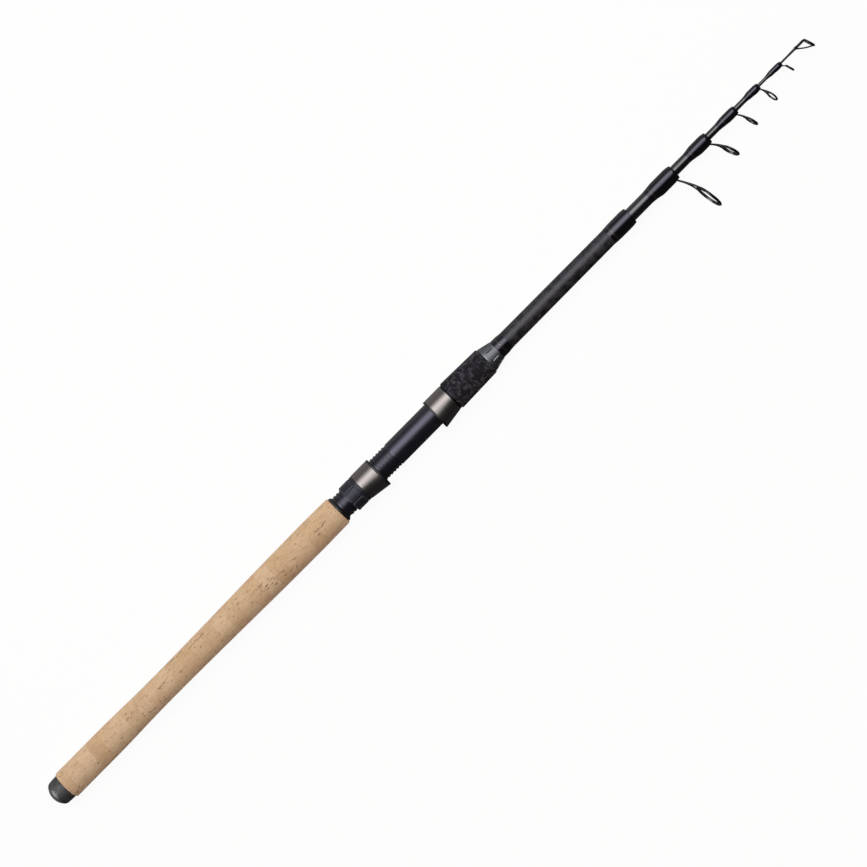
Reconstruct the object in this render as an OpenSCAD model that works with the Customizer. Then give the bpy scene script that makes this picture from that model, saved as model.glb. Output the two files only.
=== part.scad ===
// Telescopic fishing rod, closed for transport and lying on its side.
// X runs along the rod from the butt end to the tip, the guides and the reel's foot
// point to -Y, and Z is up. All lengths are in millimetres.

/* [Butt cap] */
// Length of the rubber cap that shows behind the cork
cap_len = 16.4; // [15:0.2:22]
// Diameter of the cap where it meets the cork
cap_d = 22.6; // [21.6:0.2:25]
// Diameter of the flat on the cap's end
cap_flat_d = 8.4; // [6:0.2:12]
// Thickness of the cap's end
cap_floor = 5.8; // [5.4:0.1:6.6]
// Thickness of the flange on the plug in the cap
plug_flange_t = 2.8; // [2:0.1:4]
// Length of the thread on the plug
plug_thread_len = 11; // [8:0.5:14]
// Pitch of the plug's thread
plug_pitch = 2; // [1.6:0.1:2.5]
// Thickness of the cushion that the sections rest on
cushion_t = 3; // [2:0.2:5]

/* [Rear grip] */
// Length of the cork grip
grip_len = 309.6; // [240:0.4:360]
// Diameter of the straight stretch of cork at the butt
grip_butt_d = 25.2; // [24:0.2:27]
// Length of that straight stretch
grip_land = 44; // [30:1:60]
// Diameter of the waist
grip_waist_d = 23.1; // [22:0.1:25]
// Distance of the waist from the butt end of the cork
grip_waist_at = 106; // [80:1:140]
// Diameter of the swell before the reel seat
grip_swell_d = 26.8; // [25:0.2:30]
// Distance of the swell from the front end of the cork
grip_swell_back = 28; // [15:1:60]
// Diameter at the front end of the cork
grip_front_d = 26.2; // [24:0.2:29]
// Rounding of both ends of the cork
grip_round = 1.6; // [0.5:0.1:3]

/* [Reel seat] */
// Length of the collar between the cork and the seat
collar_len = 3; // [2:0.2:6]
// How far the collar stands out from the barrel
collar_wall = 1.3; // [0.8:0.1:2]
// Diameter of the seat's barrel
seat_d = 21.2; // [20.8:0.1:22.4]
// Diameter of the bore through the barrel
seat_bore_d = 17.2; // [16.8:0.1:17.6]
// Length of the threaded stretch
thread_len = 60; // [50:1:80]
// Pitch of the thread
thread_pitch = 3.2; // [2.8:0.1:3.6]
// Depth of the thread
thread_depth = 0.6; // [0.5:0.05:0.7]
// Length of the smooth barrel between the thread and the fixed hood
barrel_len = 45; // [40:1:70]
// Length of each hood
hood_len = 18.6; // [16:0.2:22]
// How far each hood stands out from the barrel at its closed end
hood_wall = 1.8; // [1.6:0.1:2.4]
// How far the lip of each hood stands out from the barrel on the foot's side
lip_rise = 4.5; // [3.8:0.1:6]
// Thickness of the hoods' metal covers
hood_skin = 0.7; // [0.5:0.1:0.9]
// Length of the liner that shows at the mouth of each hood
hood_lip = 1.8; // [1:0.1:3]
// Width of the pocket for the reel's foot
foot_w = 16; // [12:0.5:18]
// Length of the lock nut
nut_len = 14.2; // [11:0.2:18]
// How far the lock nut stands out from the barrel
nut_wall = 1.55; // [1.3:0.05:2.4]
// Distance of the nut from the collar
nut_back = 8.6; // [7:0.1:12]
// Number of grip pads around the nut
nut_pads = 8; // [6:1:12]
// Width of the key slot under the barrel
key_w = 3; // [2:0.1:4]

/* [Foregrip] */
// Length of the trim ring between the fixed hood and the foregrip
trim_ring_len = 1.6; // [1:0.1:3]
// Diameter of the trim ring
trim_ring_d = 24.4; // [23:0.2:26]
// Length of the foam foregrip
foregrip_len = 40; // [30:1:80]
// Diameter of the foregrip at the fixed hood
foregrip_rear_d = 26.4; // [24:0.2:29]
// Diameter of the foregrip in front
foregrip_front_d = 24.4; // [22.8:0.2:27]
// Rounding of the foregrip's ends
foregrip_round = 1.2; // [0.4:0.1:3]
// Length of the winding check
check_len = 12; // [8:0.5:18]
// Diameter of the winding check at the foregrip
check_rear_d = 22.4; // [20:0.2:22.6]
// Diameter of the winding check in front
check_front_d = 17.2; // [16.6:0.1:18]
// Number of slots around the winding check
check_slots = 8; // [6:1:12]

/* [Butt blank] */
// Diameter of the butt blank at its rear end
blank_butt_d = 17.6; // [17.4:0.1:17.7]
// Diameter of the butt blank at its mouth
blank_mouth_d = 14.8; // [14.5:0.1:15.2]
// Wall of the butt blank
blank_wall = 1; // [0.9:0.02:1.1]
// Length of the wrap in front of the winding check
check_wrap_len = 10.6; // [8:0.2:20]
// Distance of the trim band from the rear end of that wrap
check_trim_at = 3.6; // [2:0.1:5]
// Length of bare blank between the two wraps
blank_bare = 116.6; // [80:0.2:200]
// Length of the wrap at the mouth
mouth_wrap_len = 24; // [16:0.5:40]
// Distance of the trim band from the rear end of the wrap at the mouth
mouth_trim_at = 3; // [2:0.1:8]
// Thickness of the wraps on the butt blank
butt_wrap_t = 0.6; // [0.5:0.05:0.8]
// Width of the trim bands
trim_w = 1.3; // [0.8:0.1:2]

/* [Sections] */
// Length of each middle section that shows when the rod is closed
section_show = [49.6, 38.4, 31.6, 26.4, 25.6]; // [20:0.1:60]
// Diameter of each middle section at its mouth
section_d = [11.5, 8.8, 6.2, 4.6, 2.8]; // [2.6:0.05:12]
// Wall of each middle section
section_wall = [0.85, 0.75, 0.45, 0.55, 0.4]; // [0.3:0.01:0.9]
// Length of the wrap on each middle section
section_wrap_len = [29.6, 23.2, 20.4, 15.6, 17.2]; // [12:0.1:32]
// Distance of the trim band from the rear end of each wrap
section_trim_at = [3.6, 3.2, 5.4, 5, 5]; // [2:0.1:8]
// Thickness of the wraps on the sections
section_wrap_t = [0.95, 1, 0.8, 0.8, 0.9]; // [0.6:0.05:1.2]
// Rise of each wrap over the foot of its guide
foot_rise = [0.9, 0.75, 0.6, 0.5, 0.45]; // [0.3:0.05:1]
// Lap that stays inside the parent at full length, with the tip's last
lap = [80, 70, 60, 50, 45, 40]; // [20:1:120]
// Length of the tip that shows when the rod is closed
tip_show = 24.4; // [20:0.1:34]
// Diameter of the tip at its thin end
tip_d = 1.5; // [1.3:0.05:1.7]

/* [Guides] */
// Outside diameter of each guide's ring
ring_d = [25, 16, 12, 11, 8.4]; // [8:0.1:26]
// Distance from the rod's axis to the middle of each ring
ring_out = [33.4, 20.4, 16, 13.6, 8.4]; // [8:0.1:36]
// Distance of each ring's middle in front of its section's end
ring_ahead = [6, 6, 3, 2, 2]; // [1:0.1:8]
// Lean of each ring towards the tip, in degrees
ring_lean = [8, 15, 13, 9, 17]; // [0:1:25]
// Turn of each ring on its stem, in degrees
ring_turn = [3, 2, 1, 8, -11]; // [-12:1:12]
// Wire of each guide's frame
wire_d = [1.1, 0.95, 0.85, 0.75, 0.65]; // [0.5:0.05:1.2]
// Thickness of the hard liner inside each ring
liner_t = [0.75, 0.7, 0.65, 0.65, 0.55]; // [0.4:0.05:1]
// Width of each liner along the line
liner_w = [2.6, 2.4, 2.1, 1.6, 2]; // [1.4:0.1:3]

/* [Tip top] */
// Outside diameter of the tip top's ring
top_ring_d = 10; // [8.6:0.1:12]
// Distance of the ring's middle below the rod's axis
top_ring_out = 4.7; // [4:0.1:6]
// Distance of the ring's middle in front of the tube
top_ring_ahead = 2.4; // [2:0.1:5]
// Lean of the ring towards the tip, in degrees
top_ring_lean = 14; // [0:1:20]
// Turn of the ring on its stem, in degrees
top_ring_turn = -7; // [-12:1:12]
// Wire of the tip top's frame
top_wire_d = 0.7; // [0.5:0.05:0.9]
// Thickness of the hard liner inside the tip top's ring
top_liner_t = 0.65; // [0.4:0.05:0.9]
// Width of that liner along the line
top_liner_w = 2; // [1.2:0.1:2.6]
// Outside diameter of the tip top's tube
top_tube_d = 2; // [2:0.1:2.6]
// Length of the tip top's tube
top_tube_len = 8.8; // [6:0.1:12]
// Diameter of the collar at the rear end of the tube
top_collar_d = 2.7; // [2.6:0.1:3.2]
// Length of that collar
top_collar_len = 1.8; // [1:0.1:3]

/* [Hidden] */
// Fineness of the round shapes
$fn = 48;
hood_sides = 48;
wrap_sides = 24;
thread_segments = 24;

// Gaps between pieces that are glued, run on each other, screw together or stand in a row
glue_gap = 0.04;
run_gap = 0.15;
thread_gap = 0.16;
thread_side_gap = 0.08;
skirt_gap = 0.4;
stack_gap = 0.2;
cushion_gap = 0.2;

// Fit of each section in the mouth of the one behind it
fit_gap = 0.03;
seat_rise = 0.06;

// How far a cut runs past the surface that it opens
cut = 1;

// Details of the butt's plug, sleeve and cushion
thread_lead = 1.5;
plug_nose = 1;
plug_depth = 0.5;
plug_core_drop = 0.2;
sleeve_in = 0.5;
sleeve_wall = 0.72;
stem_floor = 2;

// In from the rim, and forward from the end face, at each turn of the cap's bevel
cap_bevel = [[1.9, 4.6], [0.9, 6], [0.5, 7.6]];

// Details of the reel seat
crest_drop = 0.05;
collar_step = 0.4;
key_depth = 0.3;
key_run = 12;
liner_wall = 0.8;
hood_closed_wall = 4;
hood_swell = 1.6;

// Details of the wraps and their trim bands
wrap_edge = 0.1;
wrap_swell_share = 0.42;
nose_len = 2.2;
nose_share = 0.75;
nose_steps = 4;
foot_from = 0.3;
foot_ease = 0.35;
trim_depth = 0.3;
trim_proud = 0.04;

// Details of the guides, as shares of the wire or of the wrap
leg_share = 0.88;
leg_angle = 62;
bend_back = 2.5;
bend_share = 1.03;
foot_share = 0.7;
foot_spread = 0.6;
ring_bevel = 0.4;

last_section = len(section_d) - 1;

// Places along the rod, from the butt end forwards
blank_x = cap_floor + plug_flange_t + stack_gap;
plug_thread_x = blank_x + thread_lead;
cushion_x = plug_thread_x + plug_thread_len + plug_nose;
base_x = cushion_x + cushion_t + stack_gap;
grip_x = cap_len;
collar_x = grip_x + grip_len;
seat_x = collar_x + collar_len;
nut_x = seat_x + nut_back;
hood_x = nut_x + nut_len + stack_gap;
barrel_x = seat_x + thread_len;
fixed_x = barrel_x + barrel_len;
trim_ring_x = fixed_x + hood_len;
foregrip_x = trim_ring_x + trim_ring_len;
check_x = foregrip_x + foregrip_len;
check_wrap_x = check_x + check_len;
mouth_wrap_x = check_wrap_x + check_wrap_len + blank_bare;
mouth_x = mouth_wrap_x + mouth_wrap_len;

// Sizes that follow from the ones above
crest_r = seat_d / 2 - crest_drop;
root_r = crest_r - thread_depth;
sleeve_r = blank_butt_d / 2 - blank_wall - glue_gap;
plug_crest_r = sleeve_r - sleeve_wall;
plug_root_r = plug_crest_r - plug_depth;
cushion_r = bore_r(-1) - cushion_gap;
stem_r = cushion_r / 2;
stem_len = plug_thread_len - stem_floor;
cavity_r = blank_butt_d / 2 + skirt_gap;
hood_r0 = seat_d / 2 + hood_wall;

function mix(a, b, t) = a + (b - a) * t;
function clamp(t) = min(max(t, 0), 1);
function ease(t) = (1 - cos(180 * clamp(t))) / 2;
function sum_to(v, k) = k < 0 ? 0 : v[k] + sum_to(v, k - 1);

// Radius of the butt blank at a place along the rod
function blank_r(x) = mix(blank_butt_d, blank_mouth_d, (x - blank_x) / (mouth_x - blank_x)) / 2;

// Section k ends at end_x(k), and -1 stands for the butt blank
function end_x(k) = mouth_x + sum_to(section_show, k);
function bore_r(k) = k < 0 ? blank_mouth_d / 2 - blank_wall : section_d[k] / 2 - section_wall[k];
function seat_r(k) = bore_r(k - 1) - fit_gap;
function base_r(k) = seat_r(k) + seat_rise;
function section_r(k, x) =
    mix(seat_r(k), section_d[k] / 2, (x - base_x - lap[k]) / (end_x(k) - base_x - lap[k]));

// Radius of the cork at a distance from its butt end
function grip_r(s) =
    s < grip_land ? grip_butt_d / 2
    : s < grip_waist_at
        ? mix(grip_butt_d, grip_waist_d, ease((s - grip_land) / (grip_waist_at - grip_land))) / 2
    : s < grip_len - grip_swell_back
        ? mix(grip_waist_d, grip_swell_d,
            ease((s - grip_waist_at) / (grip_len - grip_swell_back - grip_waist_at))) / 2
    : mix(grip_swell_d, grip_front_d, ease((s - grip_len + grip_swell_back) / grip_swell_back)) / 2;

// A wrap draws in to a rounded nose at a mouth: [how deep, how far back from the end], front last
function nose(depth) = [for (i = [0 : nose_steps])
    let (a = 90 * i / nose_steps) [depth * (1 - cos(a)), nose_len * (1 - sin(a))]];

// Points on a ring that leans and turns, at an angle from the side that faces the rod
function on_ring(r, a, side, lean, turn) =
    let (y = r * cos(a), z = side * r * sin(a), x = z * sin(turn))
    [x * cos(lean) - y * sin(lean), x * sin(lean) + y * cos(lean), z * cos(turn)];

// Shared shapes

// Lays a shape that stands on Z along the rod
module along_x(x = 0) {
    translate([x, 0, 0]) rotate([0, 90, 0]) children();
}

// A turned piece from its outline of [radius, place along the rod]
module turned(outline) {
    along_x() rotate_extrude() polygon(outline);
}

module disc(x, length, r) {
    along_x(x) cylinder(h = length, r = r);
}

// Round wire between two points
module wire(from, to, d) {
    run = to - from;
    length = norm(run);
    translate(from)
        rotate([0, acos(run[2] / length), atan2(run[1], run[0])])
            cylinder(h = length, d = d);
}

// A solid through rings of points, with flat ends, or a tube through rings that start inside
module loft(rings, tube = false) {
    n = len(rings[0]);
    count = len(rings);
    bands = tube ? count : count - 1;
    spots = [for (ring = rings) each ring];
    function at(i, j) = (i % count) * n + j % n;
    function face(a, b, c) = tube ? [c, b, a] : [a, b, c];
    ends = [[for (j = [n - 1 : -1 : 0]) at(0, j)], [for (j = [0 : n - 1]) at(count - 1, j)]];
    sides = concat(
        [for (i = [0 : bands - 1], j = [0 : n - 1]) face(at(i, j), at(i + 1, j + 1), at(i + 1, j))],
        [for (i = [0 : bands - 1], j = [0 : n - 1]) face(at(i, j), at(i, j + 1), at(i + 1, j + 1))]);
    polyhedron(spots, tube ? sides : concat(ends, sides), convexity = 6);
}

// A threaded rod along X with trapezoid ridges that climb like a right-hand screw,
// where side_gap, a share of the pitch, widens the ridges so that the same form cuts a nut
module screw(x, length, root, crest, pitch, side_gap = 0) {
    n = thread_segments;
    turns = ceil(length / pitch) + 2;
    steps = 4 * turns;
    places = [side_gap - 0.10, 0.30 - side_gap, 0.45 - side_gap, 0.75 + side_gap];
    radii = [root, root, crest, crest];
    function place(i, j) = pitch * (floor(j / 4) + places[j % 4] + i / n - 1);
    function spot(i, j) =
        let (a = 360 * i / n, r = radii[j % 4])
        [place(i, j), r * cos(a), r * sin(a)];
    function index(i, j) = i == n ? j + 4 : i == 0 ? j : steps + 5 + (i - 1) * (steps + 1) + j;
    spots = concat(
        [for (j = [0 : steps + 4]) spot(0, j)],
        [for (i = [1 : n - 1], j = [0 : steps]) spot(i, j)],
        [[place(n / 2, 0), 0, 0], [place(n / 2, steps), 0, 0]]);
    first = len(spots) - 2;
    last = len(spots) - 1;
    faces = concat(
        [for (i = [0 : n - 1], j = [0 : steps - 1]) [index(i, j), index(i + 1, j + 1), index(i + 1, j)]],
        [for (i = [0 : n - 1], j = [0 : steps - 1]) [index(i, j), index(i, j + 1), index(i + 1, j + 1)]],
        [for (i = [0 : n - 1]) [first, index(i, 0), index(i + 1, 0)]],
        [for (j = [0 : 3]) [first, index(0, j + 1), index(0, j)]],
        [for (i = [0 : n - 1]) [last, index(i + 1, steps), index(i, steps)]],
        [for (j = [0 : 3]) [last, index(0, steps + j), index(0, steps + j + 1)]]);
    intersection() {
        translate([x, 0, 0]) polyhedron(spots, faces, convexity = 10);
        disc(x, length, crest + cut);
    }
}

// The solid inside the butt blank's outer surface, grown by a gap
module blank_core(gap) {
    turned([[0, blank_x], [blank_r(blank_x) + gap, blank_x],
        [blank_r(mouth_x) + gap, mouth_x], [0, mouth_x]]);
}

// The solid inside a section's outer surface, grown by a gap
module section_core(k, gap) {
    turned([[0, base_x], [base_r(k) + gap, base_x], [seat_r(k) + gap, base_x + lap[k]],
        [section_d[k] / 2 + gap, end_x(k)], [0, end_x(k)]]);
}

// Butt cap and its thread

module butt_cap() {
    flat = cap_flat_d / 2;
    rim = cap_d / 2;
    rim_x = cap_len - stack_gap;
    color("#3c3d40") turned(concat(
        [[0, 0], [flat, 0]],
        [for (turn = cap_bevel) [rim - turn[0], turn[1]]],
        [[rim, rim_x], [cavity_r, rim_x], [cavity_r, cap_floor], [0, cap_floor]]));
}

module butt_plug() {
    color("#2a2b2e") difference() {
        union() {
            disc(cap_floor, plug_flange_t, cavity_r - glue_gap);
            disc(cap_floor, cushion_x - cap_floor, plug_root_r - plug_core_drop);
            screw(plug_thread_x, plug_thread_len, plug_root_r, plug_crest_r, plug_pitch);
        }
        disc(cushion_x - stem_len, stem_len + cut, stem_r + glue_gap);
    }
}

module butt_cushion() {
    color("#55524c") union() {
        disc(cushion_x, cushion_t, cushion_r);
        disc(cushion_x - stem_len + stack_gap, stem_len, stem_r);
    }
}

module butt_sleeve() {
    length = plug_thread_len + thread_lead;
    color("#8a8d90") difference() {
        disc(blank_x + sleeve_in, length, sleeve_r);
        screw(plug_thread_x - 2 * plug_pitch, length + 4 * plug_pitch, plug_root_r + thread_gap,
            plug_crest_r + thread_gap, plug_pitch, thread_side_gap);
    }
}

// Handle

module butt_blank() {
    color("#2a2829") turned([
        [blank_butt_d / 2, blank_x], [blank_mouth_d / 2, mouth_x], [bore_r(-1), mouth_x],
        [bore_r(-1) + seat_rise, mouth_x - lap[0]], [blank_butt_d / 2 - blank_wall, blank_x]]);
}

module cork_grip() {
    steps = 48;
    round_steps = 5;
    function corner(i) =
        let (a = 90 * i / round_steps) [grip_round * (1 - cos(a)), grip_round * (1 - sin(a))];
    outline = concat(
        [for (i = [0 : round_steps]) let (c = corner(i)) [grip_r(0) - c[1], grip_x + c[0]]],
        [for (i = [0 : steps - 1]) let (s = mix(grip_land, grip_len - grip_round, i / steps))
            [grip_r(s), grip_x + s]],
        [for (i = [round_steps : -1 : 0]) let (c = corner(i)) [grip_r(grip_len) - c[1], collar_x - c[0]]]);
    color("#cfaf8b") difference() {
        turned(concat([[0, grip_x]], outline, [[0, collar_x]]));
        blank_core(glue_gap);
    }
}

module grip_collar() {
    rim = seat_d / 2 + collar_wall;
    color("#1b1b1e") difference() {
        turned([[0, collar_x], [rim, collar_x], [rim, collar_x + collar_len / 3],
            [root_r + collar_step, seat_x], [0, seat_x]]);
        blank_core(glue_gap);
    }
}

module seat_arbors() {
    count = 3;
    length = 14;
    room = trim_ring_x - seat_x - 2 * length;
    color("#b9a98c") for (i = [0 : count - 1]) difference() {
        disc(seat_x + length / 2 + i * room / (count - 1), length, seat_bore_d / 2 - glue_gap);
        blank_core(glue_gap);
    }
}

module reel_seat() {
    color("#1d1d26") difference() {
        union() {
            disc(barrel_x, trim_ring_x - barrel_x, seat_d / 2);
            screw(seat_x, thread_len + cut, root_r, crest_r, thread_pitch);
        }
        disc(seat_x - cut, trim_ring_x - seat_x + 2 * cut, seat_bore_d / 2);
        translate([seat_x - cut, -key_w / 2, -seat_d])
            cube([thread_len + key_run + cut, key_w, seat_d - root_r + key_depth]);
    }
}

module lock_nut() {
    bevel = 0.8;
    bevel_len = 1.4;
    front_ring = 2.8;
    groove_w = 1.1;
    groove_d = 0.8;
    rim = seat_d / 2 + nut_wall;
    color("#26272f") difference() {
        turned([[0, nut_x], [rim - bevel, nut_x], [rim, nut_x + bevel_len], [rim, nut_x + nut_len],
            [0, nut_x + nut_len]]);
        screw(seat_x, nut_back + nut_len + 2 * thread_pitch, root_r + thread_gap, crest_r + thread_gap,
            thread_pitch, thread_side_gap);
        for (i = [0 : nut_pads - 1]) rotate([360 * (i + 0.5) / nut_pads, 0, 0])
            translate([nut_x - cut, -groove_w / 2, rim - groove_d])
                cube([nut_len - front_ring + cut, groove_w, groove_d + cut]);
    }
}

// Radius of a hood at a distance from its closed end and an angle from the foot's side
function hood_r(s, a, inset) =
    hood_r0 - inset + (lip_rise - hood_wall) * s / hood_len * pow(max(cos(a), 0), hood_swell);

// A ring of points around a hood
function hood_ring(s, inset) = [for (j = [0 : hood_sides - 1])
    let (a = 360 * j / hood_sides, r = hood_r(s, a, inset)) [s, -r * cos(a), r * sin(a)]];

module hood_cover() {
    edge = hood_len - hood_lip;
    color("#7d756e") loft([hood_ring(0, hood_skin), hood_ring(edge, hood_skin),
        hood_ring(edge, 0), hood_ring(0, 0)], tube = true);
}

module hood_liner(bore) {
    skin = hood_skin + glue_gap;
    lip = hood_len - hood_lip;
    color("#1b1b1e") difference() {
        loft([hood_ring(0, skin), hood_ring(lip, skin), hood_ring(lip, 0), hood_ring(hood_len, 0)]);
        disc(-cut, hood_len + 2 * cut, bore);
        intersection() {
            loft([hood_ring(0, hood_skin + liner_wall), hood_ring(hood_len + cut, hood_skin + liner_wall)]);
            translate([hood_closed_wall, -2 * hood_r0, -foot_w / 2]) cube([hood_len, 2 * hood_r0, foot_w]);
        }
    }
}

module sliding_hood() {
    translate([hood_x, 0, 0]) hood_cover();
}

module sliding_hood_liner() {
    tongue_w = key_w - 2 * run_gap;
    tongue_top = root_r - key_depth + run_gap;
    tongue_root = 0.5;
    bore = seat_d / 2 + run_gap;
    translate([hood_x, 0, 0]) {
        hood_liner(bore);
        color("#1b1b1e") translate([0, -tongue_w / 2, -bore - tongue_root])
            cube([hood_len - hood_lip, tongue_w, bore + tongue_root - tongue_top]);
    }
}

module fixed_hood() {
    translate([trim_ring_x, 0, 0]) mirror([1, 0, 0]) hood_cover();
}

module fixed_hood_liner() {
    translate([trim_ring_x, 0, 0]) mirror([1, 0, 0]) hood_liner(seat_d / 2 + glue_gap);
}

module trim_ring() {
    color("#26272f") difference() {
        disc(trim_ring_x, trim_ring_len, trim_ring_d / 2);
        blank_core(glue_gap);
    }
}

module foregrip() {
    round_steps = 4;
    rear = foregrip_rear_d / 2;
    front = foregrip_front_d / 2;
    function corner(i) =
        let (a = 90 * i / round_steps) [foregrip_round * (1 - cos(a)), foregrip_round * (1 - sin(a))];
    color("#17161a") difference() {
        turned(concat(
            [[0, foregrip_x]],
            [for (i = [0 : round_steps]) let (c = corner(i)) [rear - c[1], foregrip_x + c[0]]],
            [for (i = [round_steps : -1 : 0]) let (c = corner(i)) [front - c[1], check_x - c[0]]],
            [[0, check_x]]));
        blank_core(glue_gap);
    }
}

module winding_check() {
    slot_w = 0.9;
    slot_d = 1;
    slot_share = 0.55;
    slot_from = 2.5;
    land = 1.2;
    slope = atan2((check_rear_d - check_front_d) / 2, check_len);
    color("#7f8387") difference() {
        turned([[0, check_x], [check_rear_d / 2, check_x], [check_rear_d / 2, check_x + land],
            [check_front_d / 2, check_wrap_x], [0, check_wrap_x]]);
        blank_core(glue_gap);
        for (i = [0 : check_slots - 1]) rotate([360 * (i + 0.5) / check_slots, 0, 0])
            translate([check_x + land, -slot_w / 2, check_rear_d / 2]) rotate([0, slope, 0])
                translate([slot_from, 0, -slot_d]) cube([slot_share * check_len, slot_w, 2 * slot_d]);
    }
}

// A band of trim thread around a wrap, from inside the wrap to just proud of it
module trim_band(x, inner, outer) {
    color("#6b2a2a") difference() {
        disc(x, trim_w, outer);
        disc(x - cut, trim_w + 2 * cut, inner);
    }
}

// Where the trim band lies in the wrap ahead of the winding check
check_trim_x = check_wrap_x + check_trim_at;
check_trim_r = blank_r(check_trim_x) + butt_wrap_t;

module check_wrap() {
    wrap_end = check_wrap_x + check_wrap_len;
    color("#121214") difference() {
        turned([[0, check_wrap_x], [blank_r(check_wrap_x) + butt_wrap_t, check_wrap_x],
            [check_trim_r, check_trim_x + trim_w], [blank_r(wrap_end) + wrap_edge, wrap_end], [0, wrap_end]]);
        blank_core(glue_gap);
        trim_band(check_trim_x, check_trim_r - trim_depth, check_trim_r + cut);
    }
}

module check_trim() {
    trim_band(check_trim_x, check_trim_r - trim_depth, check_trim_r + trim_proud);
}

// Where the trim band lies in the wrap at the mouth
mouth_trim_x = mouth_wrap_x + mouth_trim_at;
mouth_trim_share = 0.8;
mouth_trim_r = blank_r(mouth_trim_x) + mouth_trim_share * butt_wrap_t;

module mouth_wrap() {
    full = blank_mouth_d / 2 + butt_wrap_t;
    color("#121214") difference() {
        turned(concat(
            [[0, mouth_wrap_x], [blank_r(mouth_wrap_x) + wrap_edge, mouth_wrap_x],
             [mouth_trim_r, mouth_trim_x], [full, mouth_x - mouth_wrap_len / 2]],
            [for (n = nose(nose_share * butt_wrap_t)) [full - n[0], mouth_x - n[1]]],
            [[0, mouth_x]]));
        blank_core(glue_gap);
        trim_band(mouth_trim_x, mouth_trim_r - trim_depth, mouth_trim_r + cut);
    }
}

module mouth_trim() {
    trim_band(mouth_trim_x, mouth_trim_r - trim_depth, mouth_trim_r + trim_proud);
}

// Sections

module section_blank(k) {
    color("#2a2829") turned([
        [base_r(k), base_x], [seat_r(k), base_x + lap[k]],
        [section_d[k] / 2, end_x(k)], [bore_r(k), end_x(k)],
        [bore_r(k) + seat_rise, end_x(k) - lap[k + 1]], [base_r(k) - section_wall[k], base_x]]);
}

// Radius of a section's wrap at a share of its length and an angle from the guide's side
function wrap_r(k, s, a) =
    let (x = end_x(k) - section_wrap_len[k] * (1 - s),
        swell = mix(wrap_edge, section_wrap_t[k], ease(s / wrap_swell_share)),
        rise = foot_rise[k] * ease((s - foot_from) / foot_ease))
    section_r(k, x) + swell + rise * pow(max(cos(a), 0), 2);

function section_trim_x(k) = end_x(k) - section_wrap_len[k] + section_trim_at[k];
function section_trim_r(k) = wrap_r(k, (section_trim_at[k] + trim_w / 2) / section_wrap_len[k], 180);
function section_trim_in(k) = (section_r(k, section_trim_x(k)) + glue_gap + section_trim_r(k)) / 2;

module section_trim(k, grow = trim_proud) {
    trim_band(section_trim_x(k), section_trim_in(k), section_trim_r(k) + grow);
}

module section_wrap(k) {
    rings = 9;
    straight = 1 - nose_len / section_wrap_len[k];
    stations = concat(
        [for (i = [0 : rings - 1]) [straight * i / rings, 0]],
        [for (n = nose(nose_share * section_wrap_t[k])) [1 - n[1] / section_wrap_len[k], n[0]]]);
    function spot(station, j) =
        let (a = 360 * j / wrap_sides, r = wrap_r(k, station[0], a) - station[1])
        [end_x(k) - section_wrap_len[k] * (1 - station[0]), -r * cos(a), r * sin(a)];
    color("#121214") difference() {
        loft([for (station = stations) [for (j = [0 : wrap_sides - 1]) spot(station, j)]]);
        section_core(k, glue_gap);
        section_trim(k, cut);
        guide_foot(k, glue_gap);
    }
}

// Guides

function foot_r(k) = section_r(k, end_x(k) - section_wrap_len[k]) + wire_d[k] / 2 + glue_gap;
function foot_side(k) = foot_spread * wire_d[k];
function bend_x(k) = end_x(k) - bend_back;
function ring_mid(k) = [end_x(k) + ring_ahead[k], -ring_out[k], 0];
function frame_ring_r(k) = (ring_d[k] - wire_d[k]) / 2;
function leg_end(k, side) =
    ring_mid(k) + on_ring(frame_ring_r(k), leg_angle, side, ring_lean[k], ring_turn[k]);

// The two wires of a guide that lie along the blank and rise to the ring
module guide_foot(k, gap = 0) {
    foot_len = foot_share * (section_wrap_len[k] - section_trim_at[k] - trim_w - bend_back);
    web = 0.6;
    d = leg_share * wire_d[k] + 2 * gap;
    for (side = [-1, 1]) {
        bend = [bend_x(k), -foot_r(k), side * foot_side(k)];
        wire(bend - [foot_len, 0, 0], bend, d);
        translate(bend) sphere(d = d * bend_share);
        wire(bend, leg_end(k, side), d);
    }
    translate([bend_x(k) - foot_len, -foot_r(k) - web * d / 2, -foot_side(k)])
        cube([foot_len, web * d, 2 * foot_side(k)]);
}

// A round ring about its own middle, leaning and turned
module ring_place(middle, lean, turn) {
    translate(middle) rotate([0, turn, lean]) children();
}

module wire_ring(r, d) {
    rotate([0, 90, 0]) rotate_extrude() translate([r, 0]) circle(d = d);
}

// Hard liner with a straight land in its bore and bevelled lips, grooved for the frame's wire
module ring_liner(outer_d, wire, liner, width) {
    outer = (outer_d - wire) / 2;
    inner = outer_d / 2 - wire - liner;
    half = width / 2;
    bevel = ring_bevel * half;
    color("#3a3b3d") difference() {
        rotate([0, 90, 0]) rotate_extrude() polygon([
            [inner, -half + bevel], [inner + bevel, -half], [outer, -half],
            [outer, half], [inner + bevel, half], [inner, half - bevel]]);
        wire_ring(outer, wire);
    }
}

module guide_frame(k) {
    color("#20211f") union() {
        guide_foot(k);
        ring_place(ring_mid(k), ring_lean[k], ring_turn[k]) wire_ring(frame_ring_r(k), wire_d[k]);
    }
}

module guide_ring(k) {
    difference() {
        ring_place(ring_mid(k), ring_lean[k], ring_turn[k])
            ring_liner(ring_d[k], wire_d[k], liner_t[k], liner_w[k]);
        guide_foot(k);
    }
}

// Tip

tip_x = end_x(last_section) + tip_show;
tube_x = tip_x - top_tube_len;
tube_cap = 0.8;
top_mid = [tip_x + top_ring_ahead, -top_ring_out, 0];
top_frame_r = (top_ring_d - top_wire_d) / 2;
tip_end_x = tip_x - tube_cap;

module tip_blank() {
    k = last_section + 1;
    color("#2a2829") turned([[0, base_x], [base_r(k), base_x], [seat_r(k), base_x + lap[k]],
        [tip_d / 2, tip_end_x], [0, tip_end_x]]);
}

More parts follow.
